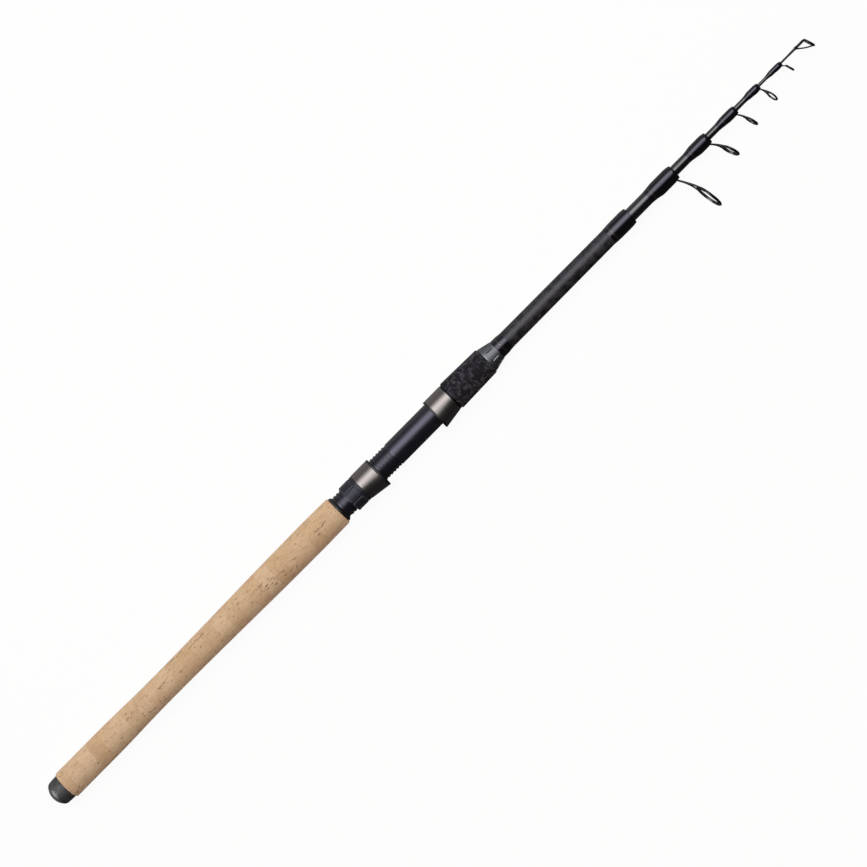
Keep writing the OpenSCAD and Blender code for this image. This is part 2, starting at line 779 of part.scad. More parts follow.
// The tip top's tube and its collar before they are drilled
module top_tube_core() {
    disc(tube_x, top_tube_len, top_tube_d / 2);
    disc(tube_x, top_collar_len, top_collar_d / 2);
}

module tip_top_tube() {
    color("#20211f") difference() {
        top_tube_core();
        disc(tube_x - cut, top_tube_len - tube_cap + cut, tip_d / 2 + glue_gap);
    }
}

// Two wires run from the tube's front end to the upper part of the ring, and two run from the collar
// to brace its lower part
module tip_top_wires() {
    upper_angle = 40;
    lower_angle = 150;
    upper_from = [0, 0, 0.4] * top_tube_d;
    lower_from = [0, -0.3, 0.2] * top_tube_d;
    upper_x = tip_x - top_ring_ahead;
    lower_x = tube_x + top_collar_len / 2;
    for (side = [-1, 1]) {
        upper = top_mid + on_ring(top_frame_r, upper_angle, side, top_ring_lean, top_ring_turn);
        lower = top_mid + on_ring(top_frame_r, lower_angle, side, top_ring_lean, top_ring_turn);
        wire([upper_x, upper_from[1], side * upper_from[2]], upper, leg_share * top_wire_d);
        wire([lower_x, lower_from[1], side * lower_from[2]], lower, leg_share * top_wire_d);
    }
}

module tip_top_frame() {
    color("#20211f") difference() {
        union() {
            tip_top_wires();
            ring_place(top_mid, top_ring_lean, top_ring_turn) wire_ring(top_frame_r, top_wire_d);
        }
        top_tube_core();
    }
}

module tip_top_ring() {
    difference() {
        ring_place(top_mid, top_ring_lean, top_ring_turn)
            ring_liner(top_ring_d, top_wire_d, top_liner_t, top_liner_w);
        tip_top_wires();
    }
}

butt_cap();
butt_plug();
butt_cushion();
butt_sleeve();
butt_blank();
cork_grip();
grip_collar();
seat_arbors();
reel_seat();
lock_nut();
sliding_hood();
sliding_hood_liner();
fixed_hood();
fixed_hood_liner();
trim_ring();
foregrip();
winding_check();
check_wrap();
check_trim();
mouth_wrap();
mouth_trim();
for (k = [0 : last_section]) {
    section_blank(k);
    section_wrap(k);
    section_trim(k);
    guide_frame(k);
    guide_ring(k);
}
tip_blank();
tip_top_tube();
tip_top_frame();
tip_top_ring();
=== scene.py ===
import math
import random

import bmesh
import bpy
from mathutils import Matrix, Vector


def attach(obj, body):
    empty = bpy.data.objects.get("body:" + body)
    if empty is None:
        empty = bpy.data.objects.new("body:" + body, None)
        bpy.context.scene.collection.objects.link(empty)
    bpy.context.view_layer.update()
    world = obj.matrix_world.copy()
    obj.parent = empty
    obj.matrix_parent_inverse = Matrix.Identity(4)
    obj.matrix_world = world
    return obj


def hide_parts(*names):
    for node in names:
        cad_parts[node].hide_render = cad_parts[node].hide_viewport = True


# A closed telescopic rod on its side: X runs from butt to tip, the guides point to -Y, Z is up.
# Sizes are in millimetres and become metres where a mesh is made.

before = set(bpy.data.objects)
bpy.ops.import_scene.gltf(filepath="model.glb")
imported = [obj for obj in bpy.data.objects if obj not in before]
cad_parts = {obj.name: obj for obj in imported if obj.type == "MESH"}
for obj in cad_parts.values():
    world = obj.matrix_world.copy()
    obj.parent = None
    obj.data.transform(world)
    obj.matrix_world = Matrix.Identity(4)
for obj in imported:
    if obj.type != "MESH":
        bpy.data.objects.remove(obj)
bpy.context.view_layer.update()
mm = 0.001


# Small helpers

def linear(colour):
    parts = [int(colour[i:i + 2], 16) / 255 for i in (1, 3, 5)]
    return [p / 12.92 if p <= 0.04045 else ((p + 0.055) / 1.055) ** 2.4 for p in parts] + [1]


def per(size):
    return 1 / (size * mm)  # texture scale for a pattern of this many millimetres


def mix(a, b, t):
    return a + (b - a) * t


def ease(t):
    return (1 - math.cos(math.pi * min(max(t, 0), 1))) / 2


# Sets a node's sockets: a socket is linked, a node is linked by its first output, a hex colour is made
# linear, and anything else is a plain value
def setInputs(tree, node, inputs):
    for key, value in inputs.items():
        if isinstance(value, bpy.types.Node):
            value = next(out for out in value.outputs if out.enabled)
        if isinstance(value, bpy.types.NodeSocket):
            tree.links.new(value, node.inputs[key])
        else:
            node.inputs[key].default_value = linear(value) if str(value).startswith("#") else value


def addNode(tree, kind, inputs=None, **settings):
    node = tree.nodes.new(kind)
    for key, value in settings.items():
        setattr(node, key, value)
    setInputs(tree, node, inputs or {})
    return node


def newSurface(name, sockets):
    surface = bpy.data.materials.new(name)
    surface.use_nodes = True
    tree = surface.node_tree
    shader = tree.nodes["Principled BSDF"]
    setInputs(tree, shader, sockets)
    return surface, tree, shader, addNode(tree, "ShaderNodeTexCoord").outputs["Object"]


# Lays a colour over another as far as a pattern has risen through a band, up to the most given
def laidOver(tree, pattern, band, under, colour, most=1):
    share = addNode(tree, "ShaderNodeMapRange", {0: pattern, 1: band[0], 2: band[1], 3: 0, 4: most})
    return addNode(tree, "ShaderNodeMix", {0: share, 6: under, 7: colour}, data_type="RGBA")


# A finish of two close tones that a noise of this size in millimetres mixes; a range of roughness and a
# relief of (strength, depth) follow the same noise
def twoToned(name, size, detail, dark, light, sockets, roughness=None, relief=None):
    surface, tree, shader, place = newSurface(name, sockets)
    grain = addNode(tree, "ShaderNodeTexNoise", {"Vector": place, "Scale": per(size), "Detail": detail})
    shade = addNode(tree, "ShaderNodeMix", {0: grain, 6: dark, 7: light}, data_type="RGBA")
    setInputs(tree, shader, {"Base Color": shade})
    if roughness:
        low, high = roughness
        uneven = addNode(tree, "ShaderNodeMapRange", {0: grain, 1: 0.3, 2: 0.7, 3: low, 4: high})
        setInputs(tree, shader, {"Roughness": uneven})
    if relief:
        strength, depth = relief
        bump = addNode(tree, "ShaderNodeBump", {
            "Strength": strength, "Distance": depth * mm, "Height": grain})
        setInputs(tree, shader, {"Normal": bump})
    return surface


def finishMesh(mesh, sharp):
    work = bmesh.new()
    work.from_mesh(mesh)
    bmesh.ops.recalc_face_normals(work, faces=work.faces)
    work.to_mesh(mesh)
    work.free()
    mesh.shade_smooth()
    mesh.set_sharp_from_angle(angle=math.radians(sharp))


def newPiece(name, mesh, surface):
    piece = bpy.data.objects.new(name, mesh)
    bpy.context.scene.collection.objects.link(piece)
    if not mesh.materials:
        mesh.materials.append(surface)
    return piece


def fullTurn(columns):
    return [2 * math.pi * j / columns for j in range(columns)]


# A point round the rod, by the angle from the side of the reel's foot
def aroundRod(x, r, a):
    return x, -r * math.cos(a), r * math.sin(a)


def hoop(x, r, columns):
    return [aroundRod(x, r, a) for a in fullTurn(columns)]


# A skin through rings of points; a ring of one point is a pole, and a loop joins the last ring to the first
def skin(name, rings, surface, loop=False, sharp=34, turn=None, marks=None):
    spots, starts, faces = [], [], []
    for ring in rings:
        starts.append(len(spots))
        spots += [Vector(p) * mm for p in ring]
    columns = max(len(ring) for ring in rings)
    for i in range(len(rings) if loop else len(rings) - 1):
        k = (i + 1) % len(rings)
        near, far = len(rings[i]), len(rings[k])
        for j in range(columns):
            corners = [starts[i] + j % near, starts[i] + (j + 1) % near,
                       starts[k] + (j + 1) % far, starts[k] + j % far]
            face = list(dict.fromkeys(corners))
            if len(face) > 2:
                faces.append(face)
    mesh = bpy.data.meshes.new(name)
    mesh.from_pydata([turn @ p for p in spots] if turn else spots, [], faces)
    for label, values in (marks or {}).items():
        mesh.attributes.new(label, "FLOAT", "POINT").data.foreach_set("value", values)
    finishMesh(mesh, sharp)
    return newPiece(name, mesh, surface)


# Rounds the corners of an outline of (x, radius), with a row beside each corner to hold the shading
def eased(outline, radius, loop=True):
    rows = []
    count = len(outline)
    for i, spot in enumerate(outline):
        here = Vector(spot)
        if not loop and i in (0, count - 1):
            rows.append(tuple(here))
            continue
        before = Vector(outline[i - 1]) - here
        after = Vector(outline[(i + 1) % count]) - here
        if before.normalized().dot(after.normalized()) < -0.985:  # nearly straight
            rows.append(tuple(here))
            continue
        cut = min(radius, 0.3 * before.length, 0.3 * after.length)
        one, two = here + before.normalized() * cut, here + after.normalized() * cut
        rows.append(tuple(here + before.normalized() * 1.5 * cut))
        for t in (0, 0.25, 0.5, 0.75, 1):
            rows.append(tuple(one * (1 - t) ** 2 + here * 2 * t * (1 - t) + two * t * t))
        rows.append(tuple(here + after.normalized() * 1.5 * cut))
    return rows


# A turned piece from its rows of (x, radius)
def turned(name, rows, surface, columns=96, loop=True, **more):
    rings = [hoop(x, r, columns) if r > 0.001 else [(x, 0, 0)] for x, r in rows]
    return skin(name, rings, surface, loop=loop, **more)


def newTree(name, sockets):
    tree = bpy.data.node_groups.new(name, "GeometryNodeTree")
    tree.interface.new_socket("Geometry", in_out="OUTPUT", socket_type="NodeSocketGeometry")
    for label, kind in sockets.items():
        tree.interface.new_socket(label, in_out="INPUT", socket_type="NodeSocket" + kind)
    return tree, addNode(tree, "NodeGroupInput").outputs


# Realises a tree's result, gives it its material and ends the tree
def endTree(tree, shape, surface):
    real = addNode(tree, "GeometryNodeRealizeInstances", {"Geometry": shape})
    dressed = addNode(tree, "GeometryNodeSetMaterial", {"Geometry": real, "Material": surface})
    addNode(tree, "NodeGroupOutput", {0: dressed})


# Sets copies of a shape round the rod in even steps, the first one this share of a step on
def setRound(tree, count, shape, first):
    spots = addNode(tree, "GeometryNodePoints", {"Count": count})
    step = addNode(tree, "ShaderNodeMath", {0: 2 * math.pi, 1: count}, operation="DIVIDE")
    number = addNode(tree, "GeometryNodeInputIndex")
    shifted = addNode(tree, "ShaderNodeMath", {0: number, 1: first}, operation="ADD")
    angle = addNode(tree, "ShaderNodeMath", {0: shifted, 1: step}, operation="MULTIPLY")
    spun = addNode(tree, "ShaderNodeCombineXYZ", {0: angle})
    return addNode(tree, "GeometryNodeInstanceOnPoints", {
        "Points": spots, "Instance": shape, "Rotation": spun})


# Sweeps a section along a coil, lays it along the rod and moves it to its start
def sweepCoil(tree, coil, section, start):
    swept = addNode(tree, "GeometryNodeCurveToMesh", {
        "Curve": coil, "Profile Curve": section, "Fill Caps": True})
    begin = addNode(tree, "ShaderNodeCombineXYZ", {0: start})
    return addNode(tree, "GeometryNodeTransform", {
        "Geometry": swept, "Translation": begin, "Rotation": (0, math.radians(90), 0)})


# Runs a tree on some geometry and keeps the result as a plain mesh
def grow(name, tree, values, source=None, sharp=34):
    holder = bpy.data.objects.new(name + "_source", source or bpy.data.meshes.new(name + "_source"))
    bpy.context.scene.collection.objects.link(holder)
    modifier = holder.modifiers.new("nodes", "NODES")
    modifier.node_group = tree
    for item in tree.interface.items_tree:
        if item.in_out == "INPUT" and item.name in values:
            modifier[item.identifier] = values[item.name]
    graph = bpy.context.evaluated_depsgraph_get()
    mesh = bpy.data.meshes.new_from_object(holder.evaluated_get(graph))
    holder.modifiers.remove(modifier)
    bpy.data.objects.remove(holder)
    mesh.name = name
    finishMesh(mesh, sharp)
    return newPiece(name, mesh, None)


# Keeps the mesh of a piece that only serves as the start of another
def takeMesh(piece):
    mesh = piece.data
    bpy.data.objects.remove(piece)
    return mesh


def settle(piece, body, slot, *nodes):
    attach(piece, body)
    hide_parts(*nodes)
    return piece


# Materials

waveTurn = math.pi / 10  # length of one band of a wave texture at scale 1

# Moulded rubber: near black with a soft gloss on the bevel, and a dull grey skirt specked with pale bloom
rubber, tree, shader, place = newSurface("Rubber_moulded", {"IOR": 1.54})
along = addNode(tree, "ShaderNodeSeparateXYZ", {0: place}).outputs["X"]
skirt = addNode(tree, "ShaderNodeMapRange", {0: along, 1: 7.9 * mm, 2: 8.8 * mm, 3: 0, 4: 1})
bloom = addNode(tree, "ShaderNodeTexNoise", {"Vector": place, "Scale": per(5), "Detail": 4})
speck = addNode(tree, "ShaderNodeTexNoise", {
    "Vector": place, "Scale": per(1.6), "Detail": 3, "Roughness": 0.65})
dull = laidOver(tree, speck, (0.4, 0.66), "#232222", "#413f3f")
bevel = addNode(tree, "ShaderNodeMix", {0: bloom, 6: "#1b1b1c", 7: "#2b2b2c"}, data_type="RGBA")
shade = addNode(tree, "ShaderNodeMix", {0: skirt, 6: bevel, 7: dull}, data_type="RGBA")
matt = addNode(tree, "ShaderNodeMapRange", {0: skirt, 1: 0, 2: 1, 3: 0.43, 4: 0.55})
rough = addNode(tree, "ShaderNodeBump", {"Strength": 0.25, "Distance": 0.06 * mm, "Height": speck})
setInputs(tree, shader, {"Base Color": shade, "Roughness": matt, "Normal": rough})

# Cork discs half an inch thick, turned and sanded: dry and matt with a pale nap at the sides, each disc a bit
# paler or darker than the next, with fine fibres along the grip, faint glue lines and brown flecks and pits
cork, tree, shader, place = newSurface("Cork_sanded", {
    "Roughness": 0.86, "Specular IOR Level": 0.25, "Sheen Weight": 0.14, "Sheen Roughness": 0.5})
spot = addNode(tree, "ShaderNodeSeparateXYZ", {0: place}).outputs
discs = addNode(tree, "ShaderNodeMath", {0: spot["X"], 1: per(12.7)}, operation="MULTIPLY")
number = addNode(tree, "ShaderNodeMath", {0: discs}, operation="FLOOR")
tone = addNode(tree, "ShaderNodeTexWhiteNoise", {"W": number}, noise_dimensions="1D")
body = addNode(tree, "ShaderNodeMix", {0: tone, 6: "#ceab87", 7: "#d5b694"}, data_type="RGBA")
apart = addNode(tree, "ShaderNodeMath", {0: number, 1: 0.07}, operation="MULTIPLY")
ownGrain = addNode(tree, "ShaderNodeCombineXYZ", {0: apart, 1: spot["Y"], 2: spot["Z"]})
golden = addNode(tree, "ShaderNodeTexNoise", {"Vector": ownGrain, "Scale": per(15), "Detail": 3})
toned = laidOver(tree, golden, (0.42, 0.68), body, "#b8946c", 0.4)
laid = addNode(tree, "ShaderNodeMapping", {"Vector": place, "Scale": (0.4, 1, 1)})
cells = addNode(tree, "ShaderNodeTexNoise", {"Vector": laid, "Scale": per(2.6), "Detail": 5})
warm = laidOver(tree, cells, (0.48, 0.74), toned, "#a98160", 0.32)
drawn = addNode(tree, "ShaderNodeMapping", {"Vector": place, "Scale": (0.22, 1, 1)})
fibre = addNode(tree, "ShaderNodeTexNoise", {"Vector": drawn, "Scale": per(0.9), "Detail": 2})
fine = laidOver(tree, fibre, (0.54, 0.72), warm, "#98704c", 0.36)
part = addNode(tree, "ShaderNodeMath", {0: discs, 1: 0.5}, operation="PINGPONG")
glue = addNode(tree, "ShaderNodeMapRange", {0: part, 1: 0.0, 2: 0.02, 3: 0.22, 4: 0})
lined = addNode(tree, "ShaderNodeMix", {0: glue, 6: fine, 7: "#9b734e"}, data_type="RGBA")
short = addNode(tree, "ShaderNodeMapping", {"Vector": place, "Scale": (0.45, 1, 1)})
fleck = addNode(tree, "ShaderNodeTexNoise", {"Vector": short, "Scale": per(1.1), "Detail": 3})
flecked = laidOver(tree, fleck, (0.6, 0.72), lined, "#86603f", 0.5)
pit = addNode(tree, "ShaderNodeAttribute", attribute_name="pit")
opened = laidOver(tree, pit.outputs["Fac"], (0, 0.55), flecked, "#5f4029", 0.95)
nap = addNode(tree, "ShaderNodeBump", {"Strength": 0.4, "Distance": 0.12 * mm, "Height": cells})
setInputs(tree, shader, {"Base Color": opened, "Normal": nap})

# Moulded nylon of the seat: near black with a violet satin sheen, faintly uneven from the mould
nylon = twoToned("Nylon_moulded_satin", 9, 3, "#0d0c11", "#16151b",
                 {"IOR": 1.68, "Specular Tint": "#ebe7ff"}, roughness=(0.26, 0.33))

# Moulded ABS of the nut: a dull blue black with a spark-eroded mould texture, drawn at 0.5 mm so that it
# shows, and a painted highlight along the pad rims
nutAbs, tree, shader, place = newSurface("ABS_spark_textured", {
    "IOR": 1.5, "Roughness": 0.45, "Specular Tint": "#e6e6ff"})
spark = addNode(tree, "ShaderNodeTexNoise", {"Vector": place, "Scale": per(0.5), "Detail": 2})
shade = addNode(tree, "ShaderNodeMix", {0: spark, 6: "#111117", 7: "#1e1e26"}, data_type="RGBA")
# the rim attribute paints a highlight along the pad rims, paler than the rest of the nut
rim = addNode(tree, "ShaderNodeAttribute", attribute_name="rim")
paintedRimLight = addNode(tree, "ShaderNodeMix", {0: rim.outputs["Fac"], 6: shade, 7: "#3a3a42"}, data_type="RGBA")
rough = addNode(tree, "ShaderNodeBump", {"Strength": 0.25, "Distance": 0.05 * mm, "Height": spark})
setInputs(tree, shader, {"Base Color": paintedRimLight, "Normal": rough})

# Anodised aluminium of the hoods: warm gunmetal with a smooth satin brush round the hoop, and rims painted
# paler, partly wear and partly a painted highlight
gunmetal, tree, shader, place = newSurface("Aluminium_anodised_brushed", {"Metallic": 1.0})
hooped = addNode(tree, "ShaderNodeMapping", {"Vector": place, "Scale": (1, 0.03, 0.03)})
brush = addNode(tree, "ShaderNodeTexNoise", {"Vector": hooped, "Scale": per(0.9), "Detail": 2})
shade = addNode(tree, "ShaderNodeMix", {0: brush, 6: "#7e7875", 7: "#868080"}, data_type="RGBA")
# the rim attribute paints the rims paler: worn metal and a painted highlight together
rim = addNode(tree, "ShaderNodeAttribute", attribute_name="rim")
wornAndLitRims = addNode(tree, "ShaderNodeMix", {0: rim.outputs["Fac"], 6: shade, 7: "#a49d98"}, data_type="RGBA")
satin = addNode(tree, "ShaderNodeMapRange", {0: brush, 1: 0.3, 2: 0.7, 3: 0.28, 4: 0.31})
setInputs(tree, shader, {"Base Color": wornAndLitRims, "Roughness": satin})

# Moulded nylon of the hoods' liners and the collar: black and duller than the seat
liner = twoToned("Nylon_moulded_dull", 4, 3, "#0a0a0d", "#131316", {"IOR": 1.53}, roughness=(0.38, 0.48))

# EVA foam, ground to shape: matt black with fine cells and a dim camouflage of short worm-like strokes
foam, tree, shader, place = newSurface("EVA_foam_camouflage", {"Roughness": 0.8, "Specular IOR Level": 0.15})
strokes = []
for size, shift in ((8.5, 0.0), (10.5, 0.31), (7.0, 0.57)):
    moved = addNode(tree, "ShaderNodeMapping", {"Vector": place, "Location": (shift, shift, 0)})
    wave = addNode(tree, "ShaderNodeTexNoise", {
        "Vector": moved, "Scale": per(size), "Detail": 2, "Distortion": 0.5})
    off = addNode(tree, "ShaderNodeMath", {0: wave, 1: 0.5}, operation="SUBTRACT")
    near = addNode(tree, "ShaderNodeMath", {0: off}, operation="ABSOLUTE")
    line = addNode(tree, "ShaderNodeMapRange", {0: near, 1: 0.02, 2: 0.05, 3: 1, 4: 0})
    gate = addNode(tree, "ShaderNodeTexNoise", {"Vector": moved, "Scale": per(6.5), "Detail": 1})
    keep = addNode(tree, "ShaderNodeMapRange", {0: gate, 1: 0.45, 2: 0.55, 3: 0, 4: 1})
    strokes.append(addNode(tree, "ShaderNodeMath", {0: line, 1: keep}, operation="MULTIPLY"))
paired = addNode(tree, "ShaderNodeMath", {0: strokes[0], 1: strokes[1]}, operation="MAXIMUM")
worms = addNode(tree, "ShaderNodeMath", {0: paired, 1: strokes[2]}, operation="MAXIMUM")
cell = addNode(tree, "ShaderNodeTexVoronoi", {"Vector": place, "Scale": per(0.6)})
shade = addNode(tree, "ShaderNodeMix", {0: cell, 6: "#110f13", 7: "#1d1b21"}, data_type="RGBA")
camo = addNode(tree, "ShaderNodeMix", {0: worms, 6: shade, 7: "#3d3a41"}, data_type="RGBA")
nap = addNode(tree, "ShaderNodeBump", {"Strength": 0.3, "Distance": 0.08 * mm, "Height": cell})
setInputs(tree, shader, {"Base Color": camo, "Normal": nap})

# Bead-blasted aluminium of the winding check: plain mid grey metal with a fine bloom, and slots with painted
# shade on their floor and a painted highlight on one wall
alloy, tree, shader, place = newSurface("Aluminium_bead_blasted", {"Metallic": 1.0})
blast = addNode(tree, "ShaderNodeTexNoise", {"Vector": place, "Scale": per(0.6), "Detail": 3})
shade = addNode(tree, "ShaderNodeMix", {0: blast, 6: "#6c6e73", 7: "#7e8085"}, data_type="RGBA")
bloom = addNode(tree, "ShaderNodeMapRange", {0: blast, 1: 0.3, 2: 0.7, 3: 0.45, 4: 0.53})
# the cut attribute paints a highlight on one slot wall and shade on the slot floor
slot = addNode(tree, "ShaderNodeAttribute", attribute_name="cut")
paintedWallHighlight = addNode(tree, "ShaderNodeMix", {0: slot.outputs["Fac"], 6: shade, 7: "#b4b8bd"}, data_type="RGBA")
paintedSlotShade = laidOver(tree, slot.outputs["Fac"], (0, -1), paintedWallHighlight, "#161719")
metal = addNode(tree, "ShaderNodeMapRange", {0: slot.outputs["Fac"], 1: 0, 2: 1, 3: 1, 4: 0.3})
setInputs(tree, shader, {"Base Color": paintedSlotShade, "Metallic": metal, "Roughness": bloom})

# Black anodised aluminium of the trim ring: dark, fine turning lines, a soft metal gleam
ringAlloy, tree, shader, place = newSurface("Aluminium_black_anodised", {"Metallic": 1.0, "Roughness": 0.34})
hooped = addNode(tree, "ShaderNodeMapping", {"Vector": place, "Scale": (1, 0.03, 0.03)})
turning = addNode(tree, "ShaderNodeTexNoise", {"Vector": hooped, "Scale": per(0.4), "Detail": 2})
shade = addNode(tree, "ShaderNodeMix", {0: turning, 6: "#16161a", 7: "#26272c"}, data_type="RGBA")
setInputs(tree, shader, {"Base Color": shade})

# Carbon composite blank under a satin lacquer: charcoal with soft darker mottling and the faint ridges
# that the shrink tape leaves, drawn at 2.4 mm so that they show
blankLacquer, tree, shader, place = newSurface("Carbon_composite_satin", {
    "IOR": 1.55, "Specular Tint": "#f6f2ff"})
mottle = addNode(tree, "ShaderNodeTexNoise", {
    "Vector": place, "Scale": per(6), "Detail": 4, "Roughness": 0.6})
shade = laidOver(tree, mottle, (0.45, 0.55), "#0f0e10", "#2a282c")
satin = addNode(tree, "ShaderNodeMapRange", {0: mottle, 1: 0.3, 2: 0.7, 3: 0.4, 4: 0.5})
tape = addNode(tree, "ShaderNodeTexWave", {
    "Vector": place, "Scale": per(2.4) * waveTurn, "Distortion": 0.4, "Detail": 1}, bands_direction="X")
ridges = addNode(tree, "ShaderNodeBump", {
    "Strength": 0.06, "Distance": 0.05 * mm, "Height": tape.outputs["Fac"]})
setInputs(tree, shader, {"Base Color": shade, "Roughness": satin, "Normal": ridges})

# The drawn sections, ground smooth and lacquered twice: blacker than the butt, with a strong clear gloss
sectionLacquer = twoToned("Carbon_composite_gloss", 5, 4, "#060507", "#0c0b0d", {
    "IOR": 1.6, "Specular Tint": "#f2eefa", "Coat Weight": 1.0, "Coat Roughness": 0.1, "Coat IOR": 1.5},
    roughness=(0.18, 0.26))

# Solid glass fibre of the tip, rubbed down: black and duller than the sections
tipFibre = twoToned("Glass_fibre_solid_satin", 3, 3, "#060607", "#0d0d0e", {"IOR": 1.5, "Roughness": 0.34})

# Black thread wraps under clear epoxy: a wet, crisp gloss, with thread turns drawn at 0.6 mm under it
epoxy, tree, shader, place = newSurface("Epoxy_over_thread", {
    "Roughness": 0.07, "IOR": 1.62, "Specular Tint": "#efe9ff"})
turns = addNode(tree, "ShaderNodeTexWave", {
    "Vector": place, "Scale": per(0.6) * waveTurn, "Distortion": 0.3}, bands_direction="X")
shade = addNode(tree, "ShaderNodeMix", {
    0: turns.outputs["Fac"], 6: "#050507", 7: "#0a0a0d"}, data_type="RGBA")
setInputs(tree, shader, {"Base Color": shade})

# Dark red trim thread, wound in even turns and wetted by the same epoxy
thread = twoToned("Polyester_thread_red", 0.5, 2, "#1d070a", "#300e12", {
    "Roughness": 0.4, "Coat Weight": 1.0, "Coat Roughness": 0.1, "Coat IOR": 1.6})

# Stainless wire with a black plating: dark metal with a keen gleam, slightly uneven from the plating
wireBlack = twoToned("Steel_wire_black_plated", 2, 3, "#1f201f", "#343534", {"Metallic": 1.0},
                     roughness=(0.24, 0.34))

# Polished hard ceramic of the line rings: near black with a glassy gloss and a trace of sintered grain
ceramic = twoToned("Ceramic_polished", 0.8, 2, "#18191a", "#28292b", {"Roughness": 0.14, "IOR": 1.76})

# Pieces that the cap and the seat hide: moulded plug, rubber cushion, turned sleeve and cast foam arbors
hidden = {
    "butt_plug": ("Nylon_moulded_plug", "#232427", "#303236", 0.45, 0.0, 3.0),
    "butt_cushion": ("Rubber_soft_grey", "#4b4843", "#5f5b54", 0.8, 0.0, 1.2),
    "butt_sleeve": ("Aluminium_turned", "#7f8285", "#989b9e", 0.35, 1.0, 0.6),
    "seat_arbors": ("Foam_cast_tan", "#a8987c", "#c6b79b", 0.9, 0.0, 1.5),
}
for node, (label, dark, light, roughness, metallic, size) in hidden.items():
    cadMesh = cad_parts[node].data
    cadMesh.materials.clear()
    cadMesh.materials.append(twoToned(
        label, size, 3, dark, light, {"Roughness": roughness, "Metallic": metallic}, relief=(0.2, 0.05)))
print("materials:", len(bpy.data.materials))


# Butt cap: a flat, a long bevel, a moulding line and a straight skirt up to the cork

buttCap = {
    "outline": [(2.2, 0), (2.2, 3.4), (2.7, 5.0), (3.1, 6.1), (4.4, 8.1), (5.1, 9.1), (6.2, 10.1),
                (7.6, 10.75), (8, 10.85), (8.35, 10.7), (8.7, 10.95), (12, 11.2), (15.6, 11.3),
                (16.2, 11.1), (16.2, 9.2), (5.8, 9.2), (5.8, 0)],
    "round": 0.4,
}
settle(turned("butt_cap_rubber", eased(buttCap["outline"], buttCap["round"], loop=False), rubber, loop=False),
       "end_cap", "butt_rubber", "butt_cap")


# Cork grip: straight at the butt, a waist, a swell before the seat, with pits sunk into its surface

corkGrip = {
    "start": 16.4, "length": 309.6, "round": 1.6, "roundRows": 6, "step": 0.72, "columns": 176,
    "butt": 12.6, "land": 44, "waist": 11.55, "waistAt": 106, "swell": 13.4, "swellBack": 28, "front": 13.1,
    "bore": (8.83, 8.17), "seed": 7, "pitDepth": 0.22,
    "groups": {"count": 52, "pits": (2, 6), "along": 5, "round": 0.16, "half": (0.7, 2.2),
               "wide": (0.24, 0.42), "deep": (0.25, 0.75), "inset": 3},
    "singles": {"count": 210, "half": (0.5, 1.1), "wide": (0.3, 0.6), "deep": (0.2, 0.7), "inset": 2},
    "cracks": {"count": 32, "pits": (5, 20), "step": 0.9, "wander": 0.028, "half": 0.9, "wide": 0.32,
               "deep": (0.4, 0.95), "fade": (0.4, 1), "inset": 4, "longest": 20},
}


def corkRadius(s):
    grip = corkGrip
    if s < grip["land"]:
        return grip["butt"]
    if s < grip["waistAt"]:
        return mix(grip["butt"], grip["waist"], ease((s - grip["land"]) / (grip["waistAt"] - grip["land"])))
    swellAt = grip["length"] - grip["swellBack"]
    if s < swellAt:
        return mix(grip["waist"], grip["swell"], ease((s - grip["waistAt"]) / (swellAt - grip["waistAt"])))
    return mix(grip["swell"], grip["front"], ease((s - swellAt) / grip["swellBack"]))


# Pits as (place along the grip, angle, half length, half width, depth share): loose groups of lenticels,
# single specks, and cracks that wander along the grip
def corkPits(dice):
    length, full = corkGrip["length"], 2 * math.pi
    groups, singles, cracks = corkGrip["groups"], corkGrip["singles"], corkGrip["cracks"]
    pits = []
    for i in range(groups["count"]):
        s, a = dice.uniform(groups["inset"], length - groups["inset"]), dice.uniform(0, full)
        for j in range(dice.randint(*groups["pits"])):
            pits.append((s + dice.gauss(0, groups["along"]), a + dice.gauss(0, groups["round"]),
                         dice.uniform(*groups["half"]), dice.uniform(*groups["wide"]),
                         dice.uniform(*groups["deep"])))
    for i in range(singles["count"]):
        pits.append((dice.uniform(singles["inset"], length - singles["inset"]), dice.uniform(0, full),
                     dice.uniform(*singles["half"]), dice.uniform(*singles["wide"]),
                     dice.uniform(*singles["deep"])))
    for i in range(cracks["count"]):
        s, a = dice.uniform(cracks["inset"], length - cracks["longest"]), dice.uniform(0, full)
        depth = dice.uniform(*cracks["deep"])
        for j in range(dice.randint(*cracks["pits"])):
            s, a = s + cracks["step"], a + dice.gauss(0, cracks["wander"])
            pits.append((s, a, cracks["half"], cracks["wide"], depth * dice.uniform(*cracks["fade"])))
    return pits


